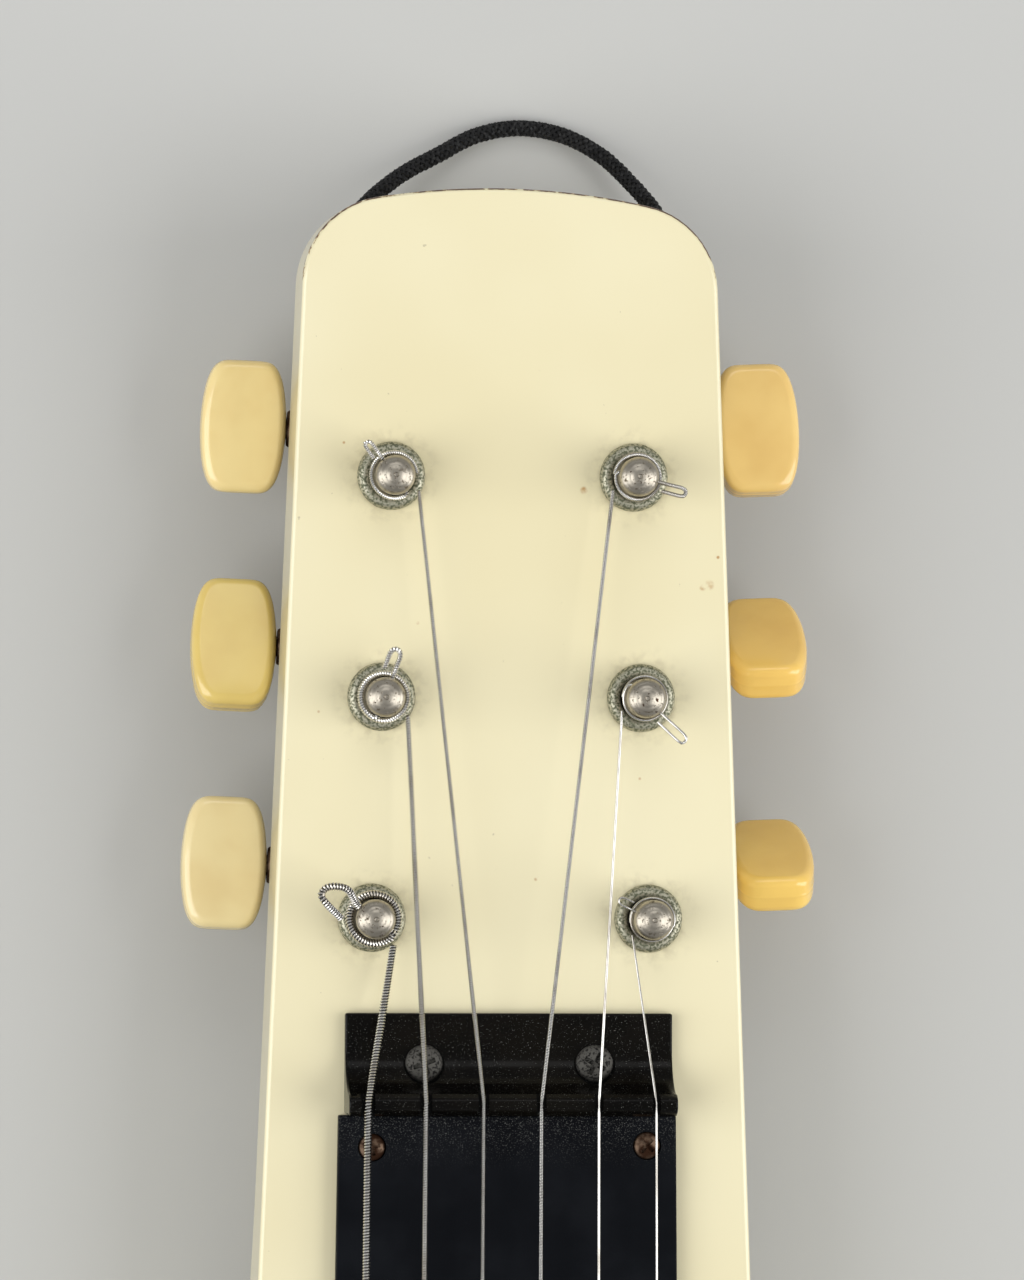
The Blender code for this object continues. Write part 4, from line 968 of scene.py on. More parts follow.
def sweep(bm: bmesh.types.BMesh, points: Sequence[Vector], radius: float, sides: int,
          outward: Sequence[Vector] | None = None) -> None:
    """Sweep a closed tube along points, with (run in mm, turn) as its UV.

    Args:
        bm: The mesh that the tube is added to.
        points: Its centre line.
        radius: Its radius.
        sides: Its sides.
        outward: Where each ring's first corner faces; left out, the rings don't twist.
    """
    layer = bm.loops.layers.uv.verify()
    rings = []
    for i, (point, side, up, run) in enumerate(frames_along(points)):
        if outward is not None:
            along = side.cross(up)
            side = (outward[i] - along * outward[i].dot(along)).normalized()
            up = along.cross(side)
        ring = []
        for k in range(sides):
            angle = 2 * math.pi * k / sides
            ring.append(bm.verts.new(point + radius * (math.cos(angle) * side + math.sin(angle) * up)))
        rings.append((ring, run / MM))
    for (lower, low_run), (upper, high_run) in zip(rings, rings[1:]):
        for k in range(sides):
            j = (k + 1) % sides
            face = bm.faces.new((lower[k], lower[j], upper[j], upper[k]))
            corners = ((low_run, k), (low_run, k + 1), (high_run, k + 1), (high_run, k))
            for loop, (run, turn) in zip(face.loops, corners):
                loop[layer].uv = (run, turn / sides)
            face.smooth = True
    bm.faces.new(rings[0][0][::-1])
    bm.faces.new(rings[-1][0])


def wind(bm: bmesh.types.BMesh, points: Sequence[Vector], radius: float, pitch: float) -> None:
    """Wind a fine wire in a helix along points.

    Args:
        bm: The mesh that the wire is added to.
        points: The line that it is wound along.
        radius: Radius of the winding's outside.
        pitch: Pitch of the helix.
    """
    wire = 0.52 * pitch
    reach = radius - wire
    steps = 9
    runs = [0.0]
    for a, b in zip(points, points[1:]):
        runs.append(runs[-1] + (b - a).length)
    frames = frames_along(points)
    total = int(runs[-1] / pitch * steps)
    helix = []
    outward = []
    segment = 0
    for i in range(total):
        run = (i + 0.5) * pitch / steps
        while segment < len(runs) - 2 and runs[segment + 1] < run:
            segment += 1
        share = (run - runs[segment]) / max(runs[segment + 1] - runs[segment], 1e-9)
        first, second = frames[segment], frames[segment + 1]
        side = first[1].lerp(second[1], share)
        up = first[2].lerp(second[2], share)
        angle = 2 * math.pi * i / steps
        outward.append(math.cos(angle) * side + math.sin(angle) * up)
        helix.append(first[0].lerp(second[0], share) + reach * outward[-1])
    # Each ring's first corner faces away from the string's axis, so the wire's material paints groove shade
    # by the ring's turn
    sweep(bm, helix, wire, 5, outward)


def finished(bm: bmesh.types.BMesh, name: str, matrix: Matrix | None = None,
             smooth: float = 35.0) -> bpy.types.Mesh:
    """Turn a solid into a smooth-shaded mesh in the row frame.

    Args:
        bm: The solid. It is freed.
        name: Name of the mesh.
        matrix: Its place, or None where it is built in place.
        smooth: Angle in degrees above which an edge stays sharp.

    Returns:
        The mesh.
    """
    bmesh.ops.recalc_face_normals(bm, faces=bm.faces)
    mesh = bpy.data.meshes.new(name)
    bm.to_mesh(mesh)
    bm.free()
    mesh.shade_smooth()
    mesh.set_sharp_from_angle(angle=math.radians(smooth))
    if matrix is not None:
        mesh.transform(matrix)
    return mesh


def half_width(y: float) -> float:
    """Half the width of the straight-tapered head and neck at a place along it."""
    return NUT_HALF_WIDTH - SIDE_TAPER * (y - NUT_Y)


def string_x(number: int, span: float) -> float:
    """Place across the instrument of one string, where the strings span a width."""
    return span * (0.5 - (number - 1) / (len(STRING_DIAMETERS) - 1))


def on_circle(centre: Vector, radius: float, degrees: float) -> Vector:
    """Point on a circle, seen from above.

    Args:
        centre: The circle's centre.
        radius: Its radius.
        degrees: Angle from the X axis.

    Returns:
        The point.
    """
    angle = math.radians(degrees)
    return centre + radius * Vector((math.cos(angle), math.sin(angle)))


@dataclass
class Screw:
    """A small screw's head.

    Attributes:
        name: Name of the piece.
        place: Middle of the head's seat.
        radius: Radius of the head.
        height: Height of its dome.
        drive: Recess in the head.
        turn: Turn of the recess in degrees.
        facing: 1 where the head looks up, and -1 where it looks down.
    """

    name: str
    place: Sequence[float]
    radius: float
    height: float
    drive: Drive = Drive.CROSS
    turn: float = 0.0
    facing: int = 1

    def build(self, material: bpy.types.Material, body: str, slot: str) -> None:
        """Add the head to the scene.

        Args:
            material: Its material.
            body: CAD body that it rides on.
            slot: The record's slot for its finish; not used.
        """
        rim = 0.25 * self.height
        profile = [(0, 0), (self.radius, 0), (self.radius, rim)]
        profile += [(self.radius * math.cos(math.radians(a)),
                     rim + (self.height - rim) * math.sin(math.radians(a))) for a in (12, 28, 45, 62, 78)]
        profile.append((0, self.height))
        cut = bmesh.new()
        length = (0.62 if self.drive is Drive.CROSS else 1.1) * self.radius
        width = (0.13 if self.drive is Drive.CROSS else 0.16) * self.radius
        floor = self.height * (0.25 if self.drive is Drive.CROSS else 0.5)
        add_box(cut, (-length, -width, floor), (length, width, 2 * self.height))
        cutters = [cut]
        if self.drive is Drive.CROSS:
            other = bmesh.new()
            add_box(other, (-width, -length, floor), (width, length, 2 * self.height))
            cutters.append(other)
        mesh = carved(turned(profile, 32), cutters)
        flip = Matrix.Identity(4) if self.facing > 0 else Matrix.Rotation(math.pi, 4, "X")
        spin = Matrix.Rotation(math.radians(self.turn), 4, "Z")
        mesh.transform(Matrix.Translation(self.place) @ flip @ spin)
        add_piece(self.name, mesh, material, body)


@dataclass
class Tuner:
    """One open-gear tuner with its string's winding.

    Attributes whose names don't say it all:
        number: The string's number.
        button_turn: Turn of the button at rest, in degrees.
        stub_direction: Where the string's cut end points, in degrees.
        stub_reach: How far it reaches from the post's axis.
        stub_rise: How far it rises on the way.
        stub_fold: Width of the fold at its end.
        stub_spread: How far the fold's end stands off the stub beside the post.
        stub_bow: How far the stub bows the other way on its way out.
        extra_turns: Whole turns on the post beyond the first part turn.
        row_middle: Distance of the row's middle post from the nut.
        inset: Distance of the posts from the head's side.
        centre_x: Place across of the line midway between the rows.
        foot_below: How far the foot reaches below the wheel.
        ferrule_edge: Height of the ring's upright edge.
        button_start: Distance of the button from the post's axis, along the shaft.
        button_squareness: Power of the outline's rounding; 2 gives an ellipse.
        button_bow: Share of its length that the button's two ends lose.
        shaft_start: Distance of the shaft's inner end from its middle.
        shaft_in_button: How far the shaft reaches into the button.
        worm_middle: Radius at which thread and gap are weighed against each other.
        pressure_angle: Slant of the thread's flanks, in degrees.
        turn_gap: Gap between the string's turns.
    """

    number: int
    button_turn: float
    stub_direction: float
    stub_reach: float
    stub_rise: float
    stub_fold: float
    stub_spread: float
    stub_bow: float
    extra_turns: int

    spacing: float = 35.0 * MM
    row_middle: float = 63.8 * MM
    inset: float = 14.4 * MM
    centre_x: float = 0.4 * MM
    shaft_z: float = 17.0 * MM
    gear_centres: float = 7.2 * MM
    post_radius: float = 3.0 * MM
    post_height: float = 10.5 * MM
    dome_start: float = 8.5 * MM
    dome_radius: float = 3.15 * MM
    hole_height: float = 7.5 * MM
    foot_radius: float = 2.3 * MM
    foot_below: float = 0.4 * MM
    wheel_thickness: float = 4.4 * MM
    ferrule_radius: float = 5.4 * MM
    ferrule_height: float = 2.1 * MM
    ferrule_edge: float = 0.35 * MM
    sleeve_radius: float = 4.1 * MM
    sleeve_depth: float = 6.0 * MM
    button_start: float = 15.6 * MM
    button_length: float = 13.6 * MM
    button_width: float = 21.2 * MM
    button_thickness: float = 6.2 * MM
    button_squareness: float = 6.0
    button_bow: float = 0.22
    button_edge: float = 1.5 * MM
    shaft_radius: float = 1.6 * MM
    shaft_start: float = -7.0 * MM
    shaft_in_button: float = 3.2 * MM
    collar_start: float = 12.9 * MM
    collar_radius: float = 2.95 * MM
    thread_pitch: float = math.pi * GEAR_MODULE
    worm_root: float = 1.45 * MM
    worm_middle: float = 2.3 * MM
    worm_tip: float = 2.9 * MM
    worm_half_length: float = 4.0 * MM
    pressure_angle: float = 20.0
    turn_gap: float = 0.55 * MM

    @property
    def side(self) -> int:
        """1 on the treble side and -1 on the bass side."""
        return 1 if self.number <= 3 else -1

    @property
    def matrix(self) -> Matrix:
        """Frame with its origin on the post's axis at shaft level, X out to the button.

        Returns:
            The frame's matrix.
        """
        row = {1: -1, 2: 0, 3: 1, 6: -1, 5: 0, 4: 1}[self.number]
        lean = math.atan(SIDE_TAPER)
        along = Vector((-self.side * math.sin(lean), math.cos(lean), 0))
        out = Vector((self.side * math.cos(lean), math.sin(lean), 0))
        middle_y = NUT_Y + self.row_middle
        middle_x = half_width(middle_y) - self.inset / math.cos(lean)
        middle = Vector((self.centre_x + self.side * middle_x, middle_y, self.shaft_z))
        across = Vector((0, 0, 1)).cross(out)
        matrix = Matrix((out, across, (0, 0, 1))).transposed().to_4x4()
        matrix.translation = middle + along * self.spacing * row
        return matrix

    @property
    def shaft_matrix(self) -> Matrix:
        """Frame on the worm shaft's axis, level with the post."""
        return self.matrix @ Matrix.Translation((0, self.side * self.gear_centres, 0))

    @property
    def centre(self) -> Vector:
        """The post's axis, seen from above."""
        return self.matrix.translation.to_2d()

    @property
    def winding_pitch(self) -> float:
        """Pitch of the fine wire on a wound string, or 0 where none is modelled."""
        return {6: 0.47 * MM, 5: 0.40 * MM, 4: 0.34 * MM}.get(self.number, 0.0)

    @property
    def wire_radius(self) -> float:
        """Radius of the string."""
        return STRING_DIAMETERS[self.number - 1] / 2

    def winding(self) -> dict:
        """Work out the string's turns.

        Returns:
            The turns' radius, the angles in degrees at which they leave and that they sweep, the
            hole's angle in radians, the string's place on the nut, and the height of their start.
        """
        wrap = self.post_radius + SEAT_GAP + self.wire_radius
        nut = Vector((string_x(self.number, NUT_STRING_SPAN), NUT_Y))
        to_nut = nut - self.centre
        bearing = math.degrees(math.atan2(to_nut.y, to_nut.x))
        leave = bearing - self.side * math.degrees(math.acos(wrap / to_nut.length))
        hole = self.stub_direction + 180
        turn = (-self.side * (hole - leave)) % 360 + 360 * self.extra_turns
        return {"radius": wrap, "leave": leave, "turn": turn, "hole": math.radians(hole), "nut": nut,
                "start_height": self.hole_height - self._rise(turn, turn)}

    def _rise(self, angle: float, turn: float) -> float:
        """Height gained after an angle of the winding; its last half turn climbs twice as fast.

        Args:
            angle: The angle, in degrees.
            turn: The angle that the whole winding sweeps.

        Returns:
            The height.
        """
        steep = max(0.0, angle - (turn - 180))
        return (angle + steep) / 360 * (2 * self.wire_radius + self.turn_gap)

    def slope(self) -> tuple[float, float]:
        """How the string falls from the nut to the post.

        Returns:
            Its fall per metre, and its height over the face on the nut.
        """
        plan = self.winding()
        top = STRING_REST_HEIGHT + self.wire_radius
        tangent = on_circle(self.centre, plan["radius"], plan["leave"])
        return (top - plan["start_height"]) / (tangent - plan["nut"]).length, top

    def wire(self, line: Sequence[Vector]) -> bmesh.types.BMesh:
        """Sweep the string along a line, with its winding where it has one.

        Args:
            line: The line's points.

        Returns:
            The string's mesh.
        """
        bm = bmesh.new()
        if self.winding_pitch:
            sweep(bm, line, self.wire_radius - 0.8 * self.winding_pitch, 10)
            wind(bm, line, self.wire_radius, self.winding_pitch)
        else:
            sweep(bm, line, self.wire_radius, 14)
        return bm

    def build(self, palette: Palette) -> None:
        """Add the tuner's pieces and the string's turns.

        Args:
            palette: The instrument's materials.
        """
        self._build_post(palette)
        self._build_ferrule(palette)
        self._build_shaft(palette)
        self._build_button(palette)
        self._build_wrap(palette)
        foot = Vector((*self.centre, self.shaft_z - self.wheel_thickness / 2 - self.foot_below))
        Screw(f"wheel_screw_{self.number}", foot, 2.9 * MM, 1.2 * MM, Drive.SLOT, 25 * self.number,
              -1).build(palette.steel, Body.POST.named(self.number), "worn_steel")

    def _build_post(self, palette: Palette) -> None:
        """Post with its cross hole, and a dome with two turned grooves and a centre mark.

        Args:
            palette: The instrument's materials.
        """
        face = FACE_Z - self.shaft_z
        dome = face + self.dome_start
        rise = self.post_height - self.dome_start
        seat = self.wheel_thickness / 2 + SEAT_GAP
        foot = -self.wheel_thickness / 2 - self.foot_below
        profile = [(0, foot), (self.foot_radius, foot),
                   (self.foot_radius, seat), (self.post_radius, seat),
                   (self.post_radius, dome - 0.9 * MM), (self.post_radius - 0.12 * MM, dome - 0.7 * MM),
                   (self.post_radius, dome - 0.5 * MM), (self.dome_radius, dome - 0.1 * MM)]
        for degrees in (0, 12, 24, 36):
            angle = math.radians(degrees)
            profile.append((self.dome_radius * math.cos(angle), dome + rise * math.sin(angle)))
        # Two fine turned grooves, then the crown with its centre mark
        grooves = ((40, 0.05), (43, 0.05), (46, 0.0), (56, 0.0), (60, 0.04), (63, 0.04), (66, 0.0))
        for degrees, sink in grooves:
            angle = math.radians(degrees)
            profile.append((self.dome_radius * math.cos(angle), dome + rise * math.sin(angle) - sink * MM))
        crown = dome + rise * 0.985
        profile += [(0.9 * MM, dome + rise * 0.965), (0.42 * MM, crown), (0.30 * MM, crown - 0.16 * MM),
                    (0, crown - 0.22 * MM)]
        plan = self.winding()
        cut = bmesh.new()
        along = (Vector((math.cos(plan["hole"]), math.sin(plan["hole"]), 0)) * 3 * self.post_radius)
        level = Vector((*self.centre, FACE_Z + self.hole_height))
        add_cylinder(cut, self.wire_radius + SEAT_GAP, level - along, level + along, 20)
        bm = turned(profile, 56)
        bmesh.ops.transform(bm, matrix=self.matrix, verts=bm.verts)
        add_piece(f"post_form_{self.number}", carved(bm, [cut], smooth=28), palette.dome,
                  Body.POST.named(self.number), [f"post_{self.number}"])

    def _build_ferrule(self, palette: Palette) -> None:
        """Ferrule with its sleeve and its domed ring.

        Args:
            palette: The instrument's materials.
        """
        face = FACE_Z - self.shaft_z
        bore = self.post_radius + SEAT_GAP
        seat = face + SEAT_GAP
        crown = (bore + self.ferrule_radius) / 2
        half = (self.ferrule_radius - bore) / 2
        profile = [(bore, face - self.sleeve_depth), (self.sleeve_radius, face - self.sleeve_depth),
                   (self.sleeve_radius, seat), (self.ferrule_radius, seat),
                   (self.ferrule_radius, seat + self.ferrule_edge)]
        rise = self.ferrule_height - SEAT_GAP - self.ferrule_edge
        for degrees in (14, 28, 42, 56, 70, 84, 98, 112, 126, 140, 152):
            angle = math.radians(degrees)
            profile.append((crown + half * math.cos(angle),
                            seat + self.ferrule_edge + rise * math.sin(angle)))
        mesh = finished(turned(profile, 64, closed=True), "ferrule", self.matrix, smooth=30)
        add_piece(f"ferrule_form_{self.number}", mesh, palette.ferrule, Body.INSTRUMENT.named(),
                  [f"ferrule_{self.number}"])

    def _build_shaft(self, palette: Palette) -> None:
        """Shaft with a left-hand worm, journals and a collar, in one grid of rings.

        Args:
            palette: The instrument's materials.
        """
        columns_count = 32
        slant = math.tan(math.radians(self.pressure_angle))
        half_thread = 0.20 * self.thread_pitch
        half_tip = half_thread - (self.worm_tip - self.worm_middle) * slant
        half_root = half_thread + (self.worm_middle - self.worm_root) * slant
        inner = -self.worm_half_length - 0.25 * MM
        chamfer = 0.3 * MM
        start_rings = [(self.shaft_start, 0), (self.shaft_start, self.shaft_radius - chamfer),
                       (self.shaft_start + chamfer, self.shaft_radius), (inner, self.shaft_radius),
                       (-self.worm_half_length, self.worm_root)]
        end = self.button_start + self.shaft_in_button
        collar = self.collar_radius
        end_rings = [(self.worm_half_length, self.worm_root), (-inner, self.shaft_radius),
                     (self.collar_start, self.shaft_radius), (self.collar_start, collar - 0.5 * MM),
                     (self.collar_start + 0.25 * MM, collar - 0.15 * MM),
                     (self.collar_start + 0.6 * MM, collar),
                     (self.button_start - 0.5 * MM, collar),
                     (self.button_start - SEAT_GAP, collar - 0.2 * MM),
                     (self.button_start - SEAT_GAP, self.shaft_radius), (end, self.shaft_radius), (end, 0)]
        turns = math.ceil(self.worm_half_length / self.thread_pitch) + 1
        thread = []
        for turn in range(-turns, turns + 2):
            middle = turn * self.thread_pitch
            thread += [(middle - half_root, self.worm_root), (middle - half_tip, self.worm_tip),
                       (middle + half_tip, self.worm_tip), (middle + half_root, self.worm_root)]
        bm = bmesh.new()
        columns = []
        for k in range(columns_count + 1):
            angle = 2 * math.pi * k / columns_count
            rows = list(start_rings)
            for height, radius in thread:
                height = max(-self.worm_half_length, min(
                    self.worm_half_length, height - self.thread_pitch * k / columns_count))
                fade = min(1.0, (self.worm_half_length - abs(height)) / (self.thread_pitch / 2))
                rows.append((height, self.worm_root + (radius - self.worm_root) * fade))
            rows += end_rings
            columns.append([bm.verts.new((height, radius * math.cos(angle), radius * math.sin(angle)))
                            for height, radius in rows])
        for left, right in zip(columns, columns[1:]):
            for i in range(len(left) - 1):
                bm.faces.new((left[i], left[i + 1], right[i + 1], right[i]))
        bmesh.ops.remove_doubles(bm, verts=bm.verts, dist=0.001 * MM)
        bmesh.ops.dissolve_degenerate(bm, edges=bm.edges, dist=0.001 * MM)
        if self.side > 0:
            bmesh.ops.rotate(bm, verts=bm.verts, cent=(0, 0, 0), matrix=Matrix.Rotation(math.pi, 3, "X"))
        mesh = finished(bm, "worm_shaft", self.shaft_matrix)
        add_piece(f"worm_shaft_form_{self.number}", mesh, palette.rusty, Body.SHAFT.named(self.number),
                  [f"worm_shaft_{self.number}"])

    def _button_ring(self, inset: float, height: float, count: int = 120) -> list:
        """One ring of the button: its barrel outline, drawn in by an inset.

        Args:
            inset: How far the outline is drawn in.
            height: Height of the ring over the button's middle.
            count: Its points.

        Returns:
            The ring's points, in the shaft's frame.
        """
        half_length = self.button_length / 2 - inset
        half_across = self.button_width / 2 - inset
        power = self.button_squareness
        points = []
        for i in range(count):
            angle = 2 * math.pi * i / count
            c = math.cos(angle)
            s = math.sin(angle)
            reach = (abs(c) ** power + abs(s) ** power) ** (-1 / power)
            bow = 1 - self.button_bow * (s * reach) ** 2
            x = self.button_start + self.button_length / 2 + half_length * c * reach * bow
            points.append((x, half_across * s * reach, height))
        return points

    def _build_button(self, palette: Palette) -> None:
        """Button with round edges and the fine ridge of its mould's parting line.

        Args:
            palette: The instrument's materials.
        """
        half = self.button_thickness / 2
        edge = self.button_edge
        quarter = []
        for degrees in (90, 75, 60, 45, 30, 15):
            angle = math.radians(degrees)
            quarter.append((edge * (1 - math.cos(angle)), -half + edge * (1 - math.sin(angle))))
        seam = [(0.02 * MM, -0.35 * MM), (-0.05 * MM, -0.18 * MM), (-0.05 * MM, 0.18 * MM),
                (0.02 * MM, 0.35 * MM)]
        levels = quarter + [(0.0, -half + edge)] + seam + [(0.0, half - edge)]
        levels += [(inset, -height) for inset, height in quarter[::-1]]
        rings = [self._button_ring(edge + 3.2 * MM, -half), *(
            self._button_ring(inset, height) for inset, height in levels),
            self._button_ring(edge + 3.2 * MM, half)]
        bm = lofted(rings)
        turn = -self.side * math.radians(self.button_turn)
        place = self.shaft_matrix @ Matrix.Rotation(turn, 4, "X")
        cut = bmesh.new()
        add_cylinder(cut, self.shaft_radius + SEAT_GAP, (self.button_start - 2 * MM, 0, 0),
                     (self.button_start + self.shaft_in_button + SEAT_GAP, 0, 0), 28)
        bmesh.ops.transform(bm, matrix=place, verts=bm.verts)
        bmesh.ops.transform(cut, matrix=place, verts=cut.verts)
        add_piece(f"button_form_{self.number}", carved(bm, [cut], smooth=50),
                  palette.buttons[self.number], Body.SHAFT.named(self.number),
                  [f"button_{self.number}"])

    def _build_wrap(self, palette: Palette) -> None:
        """Turns on the post, through the cross hole to the folded end.

        Args:
            palette: The instrument's materials.
        """
        plan = self.winding()
        radius = self.wire_radius
        steps = round(plan["turn"] / 10)
        points = []
        for i in range(steps):
            share = i / steps
            angle = plan["leave"] - self.side * plan["turn"] * share
            height = plan["start_height"] + self._rise(plan["turn"] * share, plan["turn"])
            points.append(Vector((*on_circle(self.centre, plan["radius"], angle), FACE_Z + height)))
        hole = Vector((math.cos(plan["hole"]), math.sin(plan["hole"])))
        sideways = Vector((-hole.y, hole.x)) * self.side
        reach = self.stub_reach
        fold = self.stub_fold

        def from_centre(outwards: float, across: float = 0.0) -> Vector:
            """Point of the string's end.

            Args:
                outwards: Distance from the post's axis, on the side where the turns end.
                across: Distance beside the hole's line.

            Returns:
                The point.
            """
            share = max(0.0, (-outwards - self.post_radius) / (reach - self.post_radius))
            rise = self.stub_rise * math.sin(math.pi / 2 * share)
            level = FACE_Z + self.hole_height + rise
            return Vector((*(self.centre + hole * outwards + sideways * across), level))

        route = [points[-1], from_centre(self.post_radius + radius, radius * 0.5),
                 from_centre(self.post_radius - radius * 0.3), from_centre(-self.post_radius),
                 from_centre(-(self.post_radius + reach) / 2, -self.stub_bow),
                 from_centre(-reach + fold * 0.5, -0.5 * self.stub_bow),
                 from_centre(-reach, fold * 0.25), from_centre(-reach, fold * 0.75),
                 from_centre(-reach + fold * 0.5, fold),
                 from_centre(-self.post_radius - radius - 3 * SEAT_GAP, self.stub_spread)]
        line = points[:-1] + smooth_route(route, 0.4 * MM)
        mesh = finished(self.wire(line), "wrap")
        add_piece(f"string_wrap_form_{self.number}", mesh, palette.wires[self.number],
                  Body.POST.named(self.number), [f"string_wrap_{self.number}"])


def smooth_route(points: Sequence, spacing: float) -> list[Vector]:
    """Smooth curve through chosen points.

    Args:
        points: The chosen points.
        spacing: Distance between the curve's points.

    Returns:
        The curve's points.
    """
    places = [Vector(point) for point in points]
    padded = [2 * places[0] - places[1]] + places + [2 * places[-1] - places[-2]]
    fine = []
    for a, b, c, d in zip(padded, padded[1:], padded[2:], padded[3:]):
        steps = max(1, round((c - b).length / spacing))
        for i in range(steps):
            t = i / steps
            fine.append(0.5 * (2 * b + (c - a) * t + (2 * a - 5 * b + 4 * c - d) * t * t
                               + (3 * b - a - 3 * c + d) * t ** 3))
    fine.append(places[-1])
    return fine


TUNERS = [
    Tuner(1, 62, 155, 6.2 * MM, 0.3 * MM, 1.2 * MM, 1.2 * MM, 0.0, 1),
    Tuner(2, 55, -43.6, 9.0 * MM, 1.7 * MM, 1.4 * MM, 1.4 * MM, 0.0, 1),
    Tuner(3, 12, -14, 7.8 * MM, 0.3 * MM, 1.3 * MM, 1.3 * MM, 0.0, 1),
    Tuner(4, 0, 127, 6.8 * MM, 0.6 * MM, 1.1 * MM, 1.1 * MM, 0.0, 0),
    Tuner(5, 18, 70, 7.6 * MM, 0.6 * MM, 1.7 * MM, 1.7 * MM, 0.0, 1),
    Tuner(6, 6, 144, 9.4 * MM, 3.5 * MM, 2.6 * MM, 3.1 * MM, 1.1 * MM, 1),
]


@dataclass
class Woodwork:
    """The solid body, neck and head, with its bores and pockets.

    Attributes whose names don't say it all:
        half_width: Half the greatest width of the body.
        finish: Lacquer over the solid's sides, which the photograph's outline takes in.
        crown_x: Place across of that arc's centre.
        cove_start: Distance from the nut, towards the tail, at which the head's cove starts.
        flare_y: Where the neck starts to flare into the body.
        flare_run: Length of the flare's first handle.
        widest_y: Where the body is widest.
        widest_run: Length of the handles before and after that place.
        tail_half_width: Place across of the tail's handle.
        ferrule_bore: Radius of the bores for the ferrules.
        control_pocket: Width, length and depth of the controls' pocket.
    """

    half_width: float = 87.5 * MM
    finish: float = 0.55 * MM
    edge_round: float = 0.75 * MM
    crown_radius: float = 115.0 * MM
    crown_x: float = -2.5 * MM
    corner_radius: float = 14.0 * MM
    cove_start: float = 12.0 * MM
    cove_radius: float = 65.0 * MM
    flare_y: float = -70.0 * MM
    flare_run: float = 90.0 * MM
    widest_y: float = -262.0 * MM
    widest_run: tuple = (85.0 * MM, 95.0 * MM)
    tail_half_width: float = 62.0 * MM
    ferrule_bore: float = 4.35 * MM
    coil_pocket: tuple = (63.0 * MM, 16.0 * MM, 9.25 * MM)
    control_pocket: tuple = (23.0 * MM, 103.0 * MM, 30.0 * MM)

    def _corner(self, side: int) -> Vector:
        """Centre of the head's corner arc, tangent to the crown and to one side.

        Args:
            side: 1 for the treble corner and -1 for the bass one.

        Returns:
            The centre.
        """
        lean = math.hypot(1, SIDE_TAPER)
        inset = NUT_HALF_WIDTH + self.finish + SIDE_TAPER * NUT_Y - self.corner_radius * lean
        crown_y = HEAD_END_Y - self.crown_radius
        reach = self.crown_radius - self.corner_radius
        offset = inset - side * self.crown_x
        a = 1 + SIDE_TAPER ** 2
        b = -2 * (offset * SIDE_TAPER + crown_y)
        c = offset ** 2 + crown_y ** 2 - reach ** 2
        y = (-b + math.sqrt(b * b - 4 * a * c)) / (2 * a)
        return Vector((side * (inset - SIDE_TAPER * y), y))

    def outline(self) -> list:
        """Outline seen from above.

        Returns:
            Its points, anticlockwise from the treble corner.
        """
        lean = math.degrees(math.atan(SIDE_TAPER))
        crown = Vector((self.crown_x, HEAD_END_Y - self.crown_radius))
        right = self._corner(1)
        left = self._corner(-1)
        right_join = math.degrees(math.atan2(*(right - crown).yx))
        left_join = math.degrees(math.atan2(*(left - crown).yx))
        points = arc(right, self.corner_radius, lean, right_join, 14)
        points += arc(crown, self.crown_radius, right_join, left_join, 24)[1:-1]
        points += arc(left, self.corner_radius, left_join, 180 - lean, 14)
        neck = half_width(self.flare_y) + self.finish
        before, after = self.widest_run
        widest = (self.half_width, self.widest_y)
        flare = bezier((neck, self.flare_y),
                       (neck + SIDE_TAPER * self.flare_run, self.flare_y - self.flare_run),
                       (self.half_width, self.widest_y + before), widest, 26)
        tail = bezier(widest, (self.half_width, self.widest_y - after),
                      (self.tail_half_width, TAIL_END_Y), (0, TAIL_END_Y), 26)
        side = [(neck, self.flare_y)] + flare + tail
        points += [(-x, y) for x, y in side]
        points += side[-2::-1]
        return points

    def build(self, palette: Palette) -> None:
        """Add the woodwork to the scene.

        Args:
            palette: The instrument's materials.
        """
        solid = extruded([(x, y, 0) for x, y in self.outline()], (0, 0, FACE_Z))
        start = NUT_Y - self.cove_start
        sweep_angle = math.degrees(math.acos((self.cove_radius - HEAD_BACK_Z) / self.cove_radius))
        curve = arc((start, HEAD_BACK_Z - self.cove_radius), self.cove_radius, 90, 90 + sweep_angle, 22)
        # The cutters reach past the faces that they open
        below = 6 * MM
        profile = [(HEAD_END_Y + 10 * MM, -below), (HEAD_END_Y + 10 * MM, HEAD_BACK_Z)] + curve
        profile.append((curve[-1][0], -below))
        cove = extruded([(-self.half_width, y, z) for y, z in profile], (2 * self.half_width, 0, 0))
        blank = without(solid, cove)
        bores = bmesh.new()
        above = 5 * MM
        for tuner in TUNERS:
            x, y = tuner.centre
            add_cylinder(bores, self.ferrule_bore, (x, y, HEAD_BACK_Z - above),
                         (x, y, FACE_Z + above), 40)
        width, length, depth = self.coil_pocket
        add_box(bores, (-width / 2, PICKUP_Y - length / 2, FACE_Z - depth),
                (width / 2, PICKUP_Y + length / 2, FACE_Z + above))
        width, length, depth = self.control_pocket
        x, y = CONTROL_PLACE
        add_box(bores, (x - width / 2, y - length / 2, FACE_Z - depth),
                (x + width / 2, y + length / 2, FACE_Z + above))
        add_piece("woodwork", carved(blank, [bores], self.edge_round, 5), palette.lacquer,
                  Body.INSTRUMENT.named(), ["body"])


